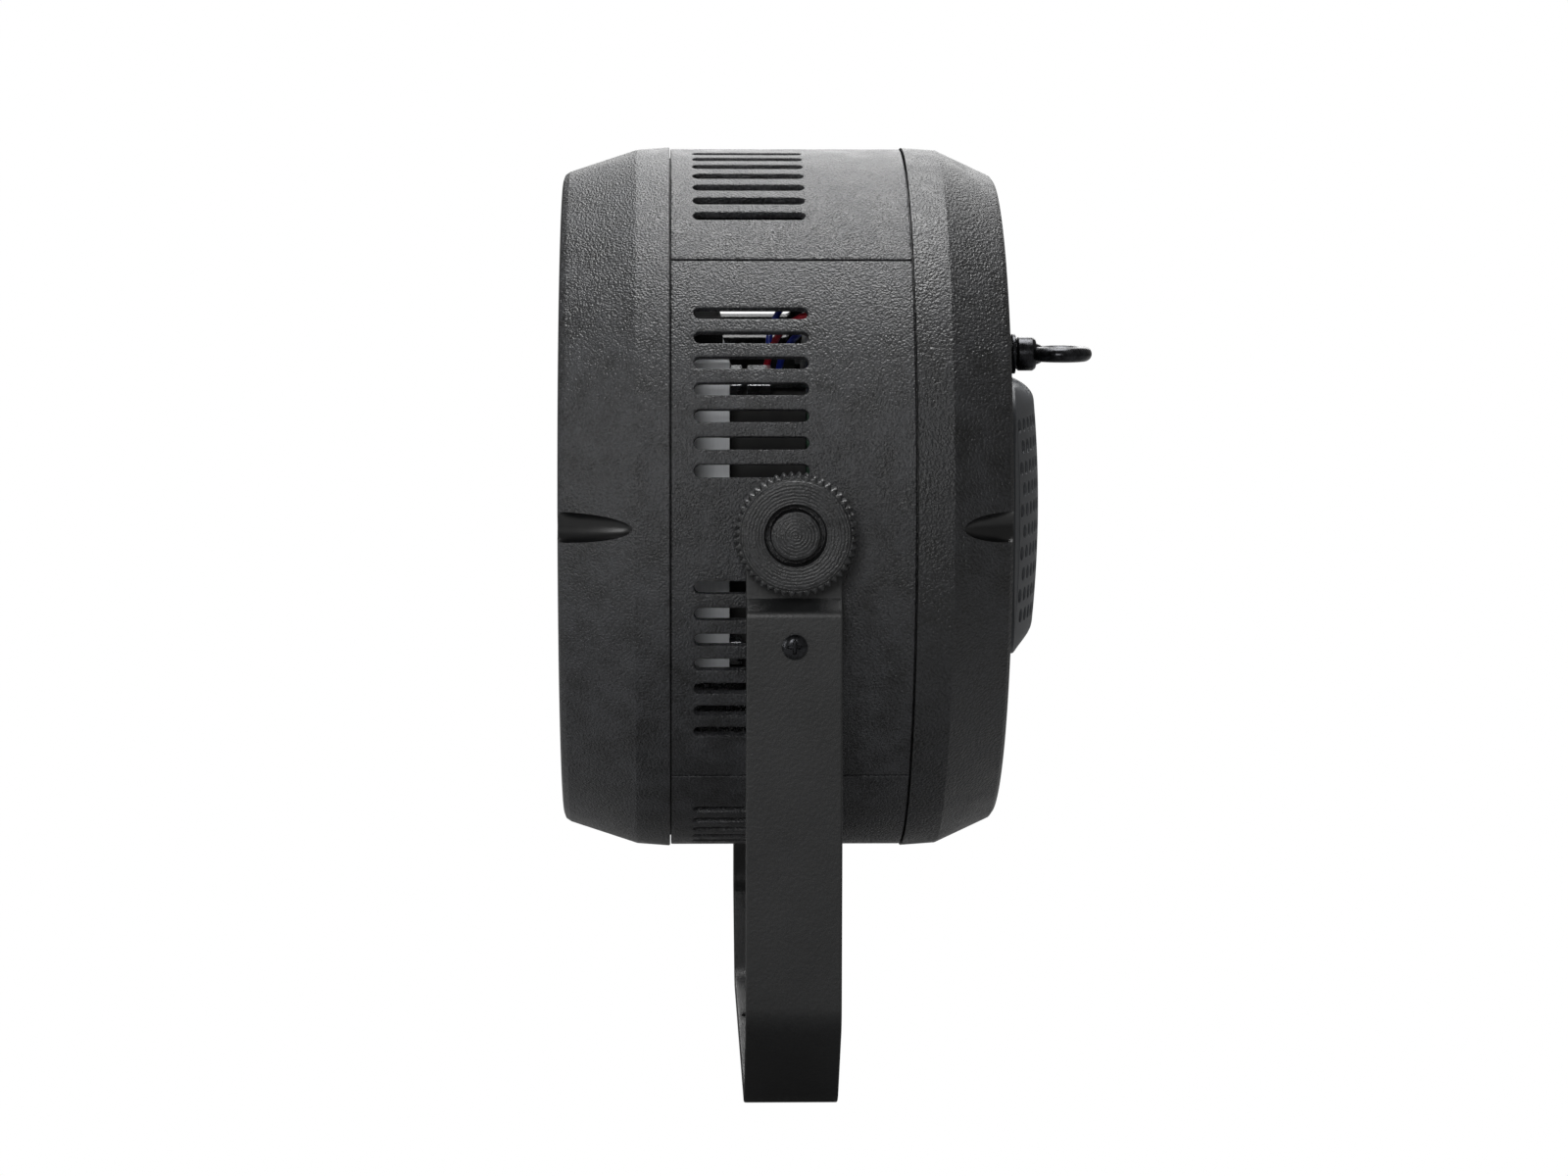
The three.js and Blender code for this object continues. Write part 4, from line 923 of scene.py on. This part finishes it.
def buildYoke():
    # the strap's centre line carries a flat section; each end closes in a half circle
    right = filletPath(yoke["path"] + [(0.0, yoke["base"])], yoke["bends"] + [0], 10)
    flatStart = right[-2, 0]
    half, rim = yoke["halfWidth"], yoke["edge"]
    slotColumns, holeColumns = np.linspace(42, 22, 13), np.linspace(9, 0, 5)
    base = np.r_[np.linspace(flatStart, 42, 5)[1:-1], slotColumns, [18, 13.5], holeColumns]
    arm = densify(right[:-1], 8.0)
    path = np.concatenate([arm, np.stack([base, np.full(len(base), yoke["base"])], -1)])
    a = np.radians(np.linspace(90, 0, 13))[:-1]
    tip = np.stack([np.full(len(a), yoke["path"][0][0]), half * np.sin(a)], -1)
    path = np.concatenate([tip, path])
    path = np.concatenate([path, path[-2::-1] * (-1, 1)])
    width = np.where(path[:, 1] > 0, np.sqrt(np.clip(half ** 2 - path[:, 1] ** 2, 0, None)), half)
    ahead = np.gradient(path, axis=0)
    ahead /= np.linalg.norm(ahead, axis=1)[:, None]
    normal = np.stack([-ahead[:, 1], ahead[:, 0]], -1)
    border = np.array([1.0, 0.997, 0.99, 0.975, 0.955, 0.935])
    rows = np.r_[-border, np.linspace(-0.935, 0.935, 17)[1:-1], border[::-1]]
    t = width[:, None] * rows
    up = np.clip(path[:, 1], 0, None)[:, None]
    gap = half - np.sqrt(t ** 2 + up ** 2)
    level = yoke["thick"] / 2 - edgeDrop(gap, rim)

    def skin(sign):
        x = path[:, :1] + normal[:, :1] * level * sign
        z = path[:, 1:] + normal[:, 1:] * level * sign
        return np.stack([x, t, z], -1)

    def arcCore(side):
        def core(flat):
            angle = np.arctan2(flat[:, 1], flat[:, 0] * side)
            angle = np.clip(angle, -math.radians(yoke["slotHalf"]), math.radians(yoke["slotHalf"]))
            return yoke["slotRadius"] * np.stack([np.cos(angle) * side, np.sin(angle)], -1)
        return core

    def throughRings(outline):
        def rings(edgeLoop):
            flat = edgeLoop[:, :2]
            face = edgeLoop[0, 2]
            away = 1.0 if face < yoke["base"] else -1.0
            steps = [(0.4, 0), (0.1, 0.12), (0, 0.4), (0, 2.6), (0.1, 2.88), (0.4, 3.0)]
            levels = [(offset, face + away * depth) for offset, depth in steps]
            return [np.c_[outline(flat, offset), np.full(len(flat), level)] for offset, level in levels]
        return rings

    outer, inner = skin(1), skin(-1)
    x = path[:, 0]
    onBase = path[:, 1] < yoke["base"] + 0.1

    def columnAt(value):
        return int(np.argmin(abs(x - value) + (~onBase) * 999))

    rowSpan = (5, len(rows) - 6)
    spans = [((9, -9), fromCore(rectCore((0, 0), (0, 0)), yoke["clampHole"]))]
    spans += [((42, 22), fromCore(arcCore(1), yoke["slotWidth"] / 2))]
    spans += [((-22, -42), fromCore(arcCore(-1), yoke["slotWidth"] / 2))]
    holes = []
    for (start, end), outline in spans:
        cells = ((columnAt(start), columnAt(end)), rowSpan)
        holes.append({"block": cells, "rings": throughRings(outline), "ease": (0.5, 0.85)})
    parts = shellWithHoles(outer, inner, holes)
    makePiece("yokeStrap", parts, "yoke", powderCoat, ["yoke_strap"], sharp=26)


buildYoke()
print("yoke made")


# Tilt knobs, screws and eye bolt
knob = {
    "bore": 4.3, "boreEnd": 131.1, "teeth": 48, "toothDepth": 1.25, "perTooth": 8,
    # x from the pivot plane, radius, share of the tooth depth
    "rows": [(122.9, 4.3, 0), (122.9, 10.6, 0), (123.2, 11.0, 0), (124.3, 11.0, 0), (124.3, 16.9, 0.3),
             (124.8, 18.3, 0.8), (125.3, 18.8, 1), (132.6, 18.8, 1), (133.2, 18.35, 0.9), (133.55, 17.6, 0.5),
             (133.6, 16.9, 0.1), (133.6, 16.75, 0), (134.0, 16.6, 0), (134.7, 16.55, 0), (134.92, 16.35, 0),
             (135.0, 16.0, 0), (134.9, 13.0, 0), (134.85, 9.75, 0), (134.7, 9.5, 0), (128.2, 9.35, 0),
             (128.0, 9.1, 0), (128.0, 7.7, 0), (128.2, 7.5, 0), (134.65, 7.4, 0), (134.9, 7.2, 0),
             (135.0, 6.9, 0), (135.0, 0.01, 0)],
}


def buildKnob(name, node, side):
    # r(a) = r - depth * share * (a rounded triangle wave of the tooth angle)
    rows = np.array(knob["rows"], float)
    columns = knob["teeth"] * knob["perTooth"]
    a = np.linspace(0, 2 * np.pi, columns, endpoint=False)
    wave = np.abs((a * knob["teeth"] / np.pi) % 2 - 1) ** 1.4
    r = rows[:, 1:2] - knob["toothDepth"] * rows[:, 2:3] * wave
    x = side * (rows[:, :1] + 0 * a)
    points = np.stack([x, r * np.cos(a), r * np.sin(a)], -1)
    end = side * (knob["boreEnd"] + 0 * a)
    bore = np.stack([end, knob["bore"] * np.cos(a), knob["bore"] * np.sin(a)], -1)
    tip = np.stack([end, 0 * a, 0 * a], -1)
    parts = [sheet(np.concatenate([np.stack([tip, bore]), points]), wrapColumns=True)]
    makePiece(name, parts, name, blackNylon, [node], sharp=30)


def crossHead(radius, rise, crossHalf, crossWide, depth):
    # polar rows of a pan head: height falls with radius, less a cross recess that tapers outwards
    a = np.linspace(0, 2 * np.pi, 96, endpoint=False)
    r = np.r_[0.001, np.linspace(0.12, 1, 26)][:, None] * radius
    u, v = r * np.cos(a), r * np.sin(a)
    height = rise * (1 - (r / radius) ** 4) + 0 * a
    along, across = np.maximum(abs(u), abs(v)), np.minimum(abs(u), abs(v))
    arm = crossWide * (1.15 - 0.45 * along / crossHalf)
    cut = np.clip((arm - across) / 0.14, 0, 1) * np.clip((crossHalf - along) / 0.25, 0, 1)
    return u, v, height - depth * cut


def buildScrew(name, node, body, axis, centre, face, side=1, size=1.0):
    # the recess surface closed by a rim and a flat back
    u, v, top = crossHead(3.75 * size, 1.1 * size, 2.2 * size, 0.62 * size, 1.35 * size)
    rim = np.stack([u[-1] * 1.04, v[-1] * 1.04, 0 * u[-1] - 0.05], -1)
    foot = np.stack([u[-1], v[-1], 0 * u[-1] - 0.75 * size], -1)
    back = np.stack([0 * u[-1], 0 * v[-1], 0 * u[-1] - 0.75 * size], -1)
    crown = np.stack([u, v, top], -1)
    rows = np.concatenate([crown, rim[None], foot[None], back[None]])
    p, q, h = rows[..., 0], rows[..., 1], face + side * rows[..., 2]
    if axis == "x":
        points = np.stack([h, p + centre[0], q + centre[1]], -1)
    else:
        points = np.stack([p + centre[0], h, q + centre[1]], -1)
    makePiece(name, [sheet(points, wrapColumns=True)], body, blackenedSteel, [node], sharp=34)


for name, side in (("right", 1), ("left", -1)):
    buildKnob(f"knob_{name}", f"knob_{name}", side)
    buildScrew(f"armScrew_{name}", f"arm_screw_{name}", "yoke", "x", (0.0, -34.8), side * 126.1, side)
for k, angle in enumerate(rearCover["screws"]):
    spot = rearCover["screwRing"] * np.array([math.cos(math.radians(angle)), math.sin(math.radians(angle))])
    buildScrew(f"coverScrew_{k + 1}", f"cover_screw_{k + 1}", "head", "y", spot, 68.75, 1, 0.72)

eye = {"z": 47.6, "ringY": 91.4, "ring": 8.0, "bar": 2.55, "flattened": 0.97}


def buildEyeBolt():
    # a forged collar and a ring: a circle of the bar's radius carried round a larger circle
    collar = [(0.01, 66.0), (4.0, 66.0), (4.0, 76.8), (4.9, 76.8), (5.6, 77.5), (5.6, 82.2)]
    collar += [(4.8, 83.2), (3.0, 83.6), (0.01, 83.6)]
    profile = filletPath(collar, [0, 0, 0, 0.3, 0.5, 0.8, 0.8, 0.4, 0], 4)
    parts = [turned(profile, 64, centre=(0, 0, eye["z"]), closed=False)]
    a = np.linspace(0, 2 * np.pi, 96, endpoint=False)[:, None]
    b = np.linspace(0, 2 * np.pi, 32, endpoint=False)[None, :]
    out = eye["ring"] + eye["bar"] * np.cos(b)
    # the bar is slightly flattened by the forging dies
    height = eye["z"] + eye["bar"] * eye["flattened"] * np.sin(b) + 0 * a
    points = np.stack([out * np.sin(a), eye["ringY"] + out * np.cos(a), height], -1)
    parts.append(sheet(points, wrapRows=True, wrapColumns=True))
    neck = filletPath([(0.01, 82.0), (4.2, 82.0), (2.9, 85.2), (0.01, 86.5)], [0, 0.4, 1.5, 0], 4)
    parts.append(turned(neck, 48, centre=(0, 0, eye["z"]), closed=False))
    makePiece("eyeBolt", parts, "head", blackenedSteel, ["eye_bolt"], sharp=40)
    washer = filletPath([(4.3, 75.3), (6.6, 75.3), (6.6, 76.5), (4.3, 76.5)], 0.25, 3, closed=True)
    parts = [turned(washer, 64, centre=(0, 0, eye["z"]))]
    makePiece("eyeBoltWasher", parts, "head", blackenedSteel, ["eye_bolt_washer"])


buildEyeBolt()
print("knobs, screws and eye bolt made")


# Optics
optics = {
    "lensR": 11.6, "domeRise": 1.6, "plateFront": -60.7, "plateRadius": 95.0,
    "rings": ((28.0, 6), (62.0, 12)),  # radius of each ring of lenses, how many
}
lensSpots = np.concatenate([
    radius * np.stack([np.cos(a), np.sin(a)], -1)
    for radius, count in optics["rings"]
    for a in [2 * np.pi * (np.arange(count) + 0.5) / count]
])


def repeated(profile, spots, columns, phase=0.0):
    # one turned profile copied to every (x, z) spot as a whole array
    profile = np.asarray(profile, float)
    a = np.linspace(0, 2 * np.pi, columns, endpoint=False) + phase
    r = profile[:, :1]
    single = np.stack([r * np.cos(a), profile[:, 1:] + 0 * a, r * np.sin(a)], -1)
    shift = np.stack([spots[:, 0], 0 * spots[:, 0], spots[:, 1]], -1)
    points = single[None] + shift[:, None, None, :]
    quads = gridQuads(len(profile), columns, wrapColumns=True)
    count = len(profile) * columns
    quads = quads[None] + (np.arange(len(spots)) * count)[:, None, None]
    return points.reshape(-1, 3), quads.reshape(-1, 4)


def buildOptics():
    # cover disc with a polished edge, lens plate with a domed collimator over each LED
    cover = filletPath([(0.01, -66.3), (98.4, -66.3), (98.4, -63.3), (0.01, -63.3)], [0, 0.4, 0.4, 0], 3)
    parts = [turned(cover, 160, closed=False)]
    makePiece("lensCover", parts, "head", clearAcrylic, ["lens_cover"])
    front = optics["plateFront"]
    edge = optics["plateRadius"]
    plate = [(0.01, front + 0.3), (edge, front + 0.3), (edge, front + 2.0), (0.01, front + 2.0)]
    plate = filletPath(plate, [0, 0.3, 0.3, 0], 3)
    t = np.linspace(0, 1, 9)
    turn = t * np.pi / 2
    domeRadius = np.maximum(optics["lensR"] * np.sin(turn), 0.01)
    dome = np.stack([domeRadius, front + 0.02 - optics["domeRise"] * np.cos(turn) + optics["domeRise"]], -1)
    back = [(11.4, front + 2.6), (9.6, front + 7.5), (7.2, front + 12.5), (4.6, front + 16.0)]
    back += [(3.6, front + 16.0), (3.3, front + 12.5), (0.01, front + 12.0)]
    parts = [turned(plate, 128, closed=False), repeated(np.concatenate([dome, back]), lensSpots, 32)]
    makePiece("lensPlate", parts, "head", clearAcrylic, ["lens_plate"])
    chip = [(0.01, -42.2), (3.4, -42.2), (3.4, -43.2), (2.7, -43.2), (2.4, -44.0), (1.5, -44.6), (0.01, -44.8)]
    makePiece("ledEmitters", [repeated(chip, lensSpots, 20)], "head", ledYellow)


buildOptics()
print("optics made")


# Rear controls
controls = {
    "plateBack": 61.3, "plateFace": 63.3, "flange": 63.6, "data": (33.0, -66.0), "power": (40.0, 64.0),
    "displayZ": -66.0, "buttonPitch": 9.5, "buttonZ": -82.0,
}


def buildControlPlate():
    # the bay's outline drawn in by a clearance, as rings from the middle over the edge to the back
    a = np.linspace(0, 2 * np.pi, 240, endpoint=False)
    around = np.stack([170 * np.cos(a), -74 + 120 * np.sin(a)], -1)
    outline = fromCore(bayCore, rearCover["bay"]["corner"])
    middle = np.array([0.0, -72.0])
    rows = []
    face, back = controls["plateFace"], controls["plateBack"]
    # share of the way from the middle, clearance, height
    section = [(0, 0, face), (0.5, -0.6, face), (1, -0.9, face), (1, -0.45, face - 0.1)]
    section += [(1, -0.3, face - 0.3), (1, -0.3, back), (0, 0, back)]
    for scale, offset, y in section:
        ring = outline(around, offset)
        rows.append(atHeight(middle + (ring - middle) * scale, y))
    parts = [sheet(np.stack(rows), wrapColumns=True)]
    makePiece("controlPlate", parts, "head", powderCoat, ["control_panel"])


def buildDataSocket(name, node, side, male):
    # rings from the cup's floor up its wall, over the barrel's rim, across the flange and back
    x, z = controls["data"][0] * side, controls["data"][1]
    y = controls["flange"]
    a = np.linspace(0, 2 * np.pi, 96, endpoint=False)
    around = 30.0 * np.stack([np.cos(a), np.sin(a)], -1)
    barrel = fromCore(rectCore((0, 0), (0, 0)), 11.5)
    flange = fromCore(rectCore((0, 0), (10.8, 13.3)), 2.2)
    section = [(barrel, -2.1, y - 13), (barrel, -2.1, y + 2.1), (barrel, -1.6, y + 2.6), (barrel, -0.4, y + 2.6)]
    section += [(barrel, 0, y + 2.2), (barrel, 0, y + 1.8), (flange, -0.5, y + 1.8), (flange, -0.12, y + 1.65)]
    section += [(flange, 0, y + 1.3), (flange, 0, y), (barrel, 0, y), (barrel, 0, 44.0)]
    rows = [atHeight(0 * around + (x, z), y - 13)]
    rows += [atHeight(outline(around, offset) + (x, z), height) for outline, offset, height in section]
    rows += [atHeight(0 * around + (x, z), 44.0)]
    parts = [sheet(np.stack(rows), wrapColumns=True)]
    centre = (x, 0, z)
    poles = [(4.2 * math.cos(math.radians(k)), 4.2 * math.sin(math.radians(k))) for k in (90, 210, 330)]
    if male:
        for u, v in poles:
            pin = filletPath([(0.01, y - 13), (1.2, y - 13), (1.2, y - 4), (0.01, y - 4)], [0, 0, 0.6, 0], 3)
            parts.append(turned(pin, 16, centre=(x + u, 0, z + v), closed=False))
    else:
        core = filletPath([(0.01, y - 13), (7.2, y - 13), (7.2, y + 0.8), (0.01, y + 0.8)], [0, 0, 0.6, 0], 4)
        parts.append(turned(core, 64, centre=centre, closed=False))
        for u, v in poles:
            sleeve = [(0.9, y + 0.7), (0.9, y + 1.0), (1.7, y + 1.0), (1.7, y + 0.7)]
            sleeve = filletPath(sleeve, 0.08, 2, closed=True)
            parts.append(turned(sleeve, 24, centre=(x + u, 0, z + v)))
    makePiece(name, parts, "head", blackNylon, [node])


def buildPowerSocket(name, node, side, inlet):
    # flange frame round a shaped mouth, with blades in the inlet or a plug block in the outlet
    x, z = controls["power"][0] * side, controls["power"][1]
    y = controls["flange"]
    mouth = filletPath([(-11, -7.5), (11, -7.5), (11, 3.5), (7, 7.5), (-7, 7.5), (-11, 3.5)], 1.0, 4, closed=True)
    loop = densify(np.vstack([mouth, mouth[:1]]), 1.5)[:-1]
    flange = fromCore(rectCore((0, 0), (13.5, 10.3)), 2.0)
    body = fromCore(rectCore((0, 0), (12.0, 8.5)), 1.0)
    far = loop * 3.0
    rings = [(loop, y - 14), (loop, y + 1.7), (loop * 1.02, y + 2.0), (flange(far, -0.5), y + 2.0)]
    rings += [(flange(far, -0.12), y + 1.85), (flange(far), y + 1.5), (flange(far), y)]
    rings += [(body(far), y), (body(far), 44.0), (0 * loop, 44.0)]
    rows = [atHeight(0 * loop + (x, z), y - 14)] + [atHeight(ring + (x, z), height) for ring, height in rings]
    parts = [sheet(np.stack(rows), wrapColumns=True)]
    if inlet:
        for u, v in ((-7, -1.5), (0, 2.5), (7, -1.5)):
            parts.append(block(roundRect(1.0, 2.0, 0.3, 2), y - 15, y - 3, 0.3, (x + u, z + v)))
    else:
        plug = filletPath([(-9, -5.6), (9, -5.6), (9, 2.6), (6, 5.6), (-6, 5.6), (-9, 2.6)], 0.8, 3, closed=True)
        parts.append(block(plug, y - 15, y + 1.2, 0.4, (x, z)))
    makePiece(name, parts, "head", blackNylon, [node])


def buildControls():
    # the plate, two data and two power sockets, the display and a row of buttons evenly pitched
    buildControlPlate()
    buildDataSocket("dataInSocket", "data_in_socket", 1, True)
    buildDataSocket("dataOutSocket", "data_out_socket", -1, False)
    buildPowerSocket("powerInlet", "power_inlet", 1, True)
    buildPowerSocket("powerOutlet", "power_outlet", -1, False)
    glass = block(roundRect(16.0, 6.0, 1.0), 58.0, 63.9, 0.35, (0, controls["displayZ"]))
    makePiece("displayWindow", [glass], "head", displayGlass, ["display"])
    for k in range(4):
        x = (k - 1.5) * controls["buttonPitch"]
        cap = [(0.01, 57.5), (4.0, 57.5), (4.0, 60.9), (3.0, 60.9), (3.0, 65.5), (0.01, 65.6)]
        cap = filletPath(cap, [0, 0, 0, 0, 0.9, 0], 5)
        parts = [turned(cap, 40, centre=(x, 0, controls["buttonZ"]), closed=False)]
        makePiece(f"menuButton_{k + 1}", parts, f"button_{k + 1}", rubber, [f"menu_button_{k + 1}"])


buildControls()
print("rear controls made")


# Inside: film and foam as painted shade, standoffs and wires
inside = {"cardX": 61.1, "cardBack": 5.2, "cardFront": -18.7, "film": 0.5, "cardLow": -50.0, "cardHigh": 46.0}
wires = {
    # material, replaced node, slot, strands, strand radius, points
    "wireRed": (redPvc, "wire_red", "red_pvc", 1, 1.1,
                [(50, -7.6, 20), (54, -8, 32), (57, -7.5, 43), (64, -6, 52), (75, -2, 59.5),
                 (82, 5, 64), (77, 12, 61), (58, 24, 44), (40, 24, 30)]),
    "wireBlue": (bluePvc, "wire_blue", "blue_pvc", 1, 1.1,
                 [(50, -7.6, 15), (54, -4.6, 30), (57, -3.6, 43), (64, -2, 51), (76, 2, 57.5),
                  (83, 6, 60), (79, 13, 55), (60, 26, 39), (40, 24.5, 24)]),
    "wireLeft": (bluePvc, "wire_left", "blue_pvc", 1, 1.1,
                 [(-51.4, -3, 12), (-54, -4, 30), (-57, -4, 43), (-64, -3, 52), (-76, 1, 59),
                  (-82, 6, 61), (-77, 13, 56), (-56, 25, 40), (-40, 24, 30)]),
    "wireLower": (blackPvc, "wire_lower", "black_pvc", 2, 0.8,
                  [(50, -7.6, -18), (52, -9, -30), (55, -12, -44), (61, -14, -54), (74, -18, -58),
                   (81, -26, -59), (76, -31, -66), (50, -22, -78), (20, -8, -83), (-20, -4, -82)]),
}


def smoothPath(points, perSpan):
    # a Catmull-Rom curve through the points
    p = np.asarray(points, float)
    p = np.concatenate([2 * p[:1] - p[1:2], p, 2 * p[-1:] - p[-2:-1]])
    t = np.linspace(0, 1, perSpan, endpoint=False)[None, :, None]
    a, b, c, d = (p[k:len(p) - 3 + k, None, :] for k in range(4))
    curve = 0.5 * (2 * b + (c - a) * t + (2 * a - 5 * b + 4 * c - d) * t ** 2 + (3 * b - a - 3 * c + d) * t ** 3)
    return np.concatenate([curve.reshape(-1, 3), p[-2:-1]])


def tube(path, radius, columns=12, strands=1, lay=9.0):
    # a circle carried along the path; twisted strands ride a helix of the same radius round it
    ahead = np.gradient(path, axis=0)
    ahead /= np.linalg.norm(ahead, axis=1)[:, None]
    across = np.cross(ahead, (0.31, 0.87, 0.38))
    across /= np.linalg.norm(across, axis=1)[:, None]
    upward = np.cross(ahead, across)
    length = np.r_[0, np.cumsum(np.linalg.norm(np.diff(path, axis=0), axis=1))]
    a = np.linspace(0, 2 * np.pi, columns, endpoint=False)[None, :, None]
    parts = []
    for k in range(strands):
        turn = (2 * np.pi * (length / lay + k / strands))[:, None]
        offset = 0 if strands == 1 else radius * (across * np.cos(turn) + upward * np.sin(turn))
        centre = (path + offset)[:, None]
        ring = centre + radius * (across[:, None] * np.cos(a) + upward[:, None] * np.sin(a))
        closed = np.concatenate([0 * ring[:1] + centre[:1], ring, 0 * ring[-1:] + centre[-1:]])
        parts.append(sheet(closed, wrapColumns=True))
    return parts


def buildInside():
    # a folded black card as painted shade: a wall behind the heat sink and two sides that screen the power supply,
    # dark where the housing's inside is only shade
    x, back, front, film = (inside[key] for key in ("cardX", "cardBack", "cardFront", "film"))
    card = [(-x, back), (-x, front), (x, front), (x, back)]
    card += [(x - film, back), (x - film, front + film), (film - x, front + film), (film - x, back)]
    loop = np.asarray(card)
    rows = [np.c_[loop, np.full(len(loop), height)] for height in (inside["cardLow"], inside["cardHigh"])]
    walls = sheet(np.stack(rows), wrapColumns=True)
    caps = np.array([[0, 1, 6, 7], [1, 2, 5, 6], [2, 3, 4, 5]])
    caps = np.concatenate([caps, caps + len(loop)])
    parts = [(walls[0], np.concatenate([walls[1], caps]))]
    makePiece("insulatingCardPaintedShade", parts, "head", blackFilmPaintedShade)
    # the foam baffle is painted shade too: a dark block inside the housing where there is only shade
    foam = block(roundRect(56.0, 5.8, 1.5), -38.5, -21.0, 0.8, (0.0, 55.4))
    makePiece("foamBafflePaintedShade", [foam], "head", blackFoamPaintedShade)
    spots = np.array([(66, 43), (-66, 43), (-66, -43), (66, -43)], float)
    nut = [(0.01, -18.9), (4.4, -18.9), (4.6, -18.6), (4.6, -15.4), (4.4, -15.1), (2.6, -15.1)]
    hexRod = nut + [(2.6, -13.6), (4.4, -13.6), (4.6, -13.3)]
    hexRod += [(4.6, -6.3), (4.4, -6.0), (2.6, -6.0), (2.6, 7.7), (0.01, 7.7)]
    names = [f"standoff_{k}" for k in (1, 2, 3, 4)]
    parts = [repeated(hexRod, spots, 6, math.radians(-20))]
    makePiece("standoffs", parts, "head", zincSteel, names, sharp=20)
    for name, (material, node, slotName, strands, radius, points) in wires.items():
        path = smoothPath(points, 14 if strands == 1 else 22)
        makePiece(name, tube(path, radius, strands=strands), "head", material, [node], sharp=60)


buildInside()
print("inside made")


# Finishes on the CAD's own pieces
nodeLooks = {
    "zinc": (zincSteel, [
        *(f"{kind}_{side}" for kind in ("arm_nut", "knob_stud", "knob_washer", "threaded_insert")
          for side in ("right", "left")),
        "chassis_plate", "eye_bolt_nut", "data_out_latch",
    ]),
    "aluminium": (aluminium, ["heat_sink"]),
    "rubber": (rubber, ["lens_seal", "friction_pad_right", "friction_pad_left"]),
    "board": (greenBoard, ["power_supply", "driver_board"]),
    "mask": (whiteMask, ["led_board"]),
    "nylon": (blackNylon, ["fan_frame", "fan_rotor"]),
}
for material, names in nodeLooks.values():
    for nodeName in names:
        mesh = nodes[nodeName].data
        mesh.materials.clear()
        mesh.materials.append(material)
print("CAD pieces finished")
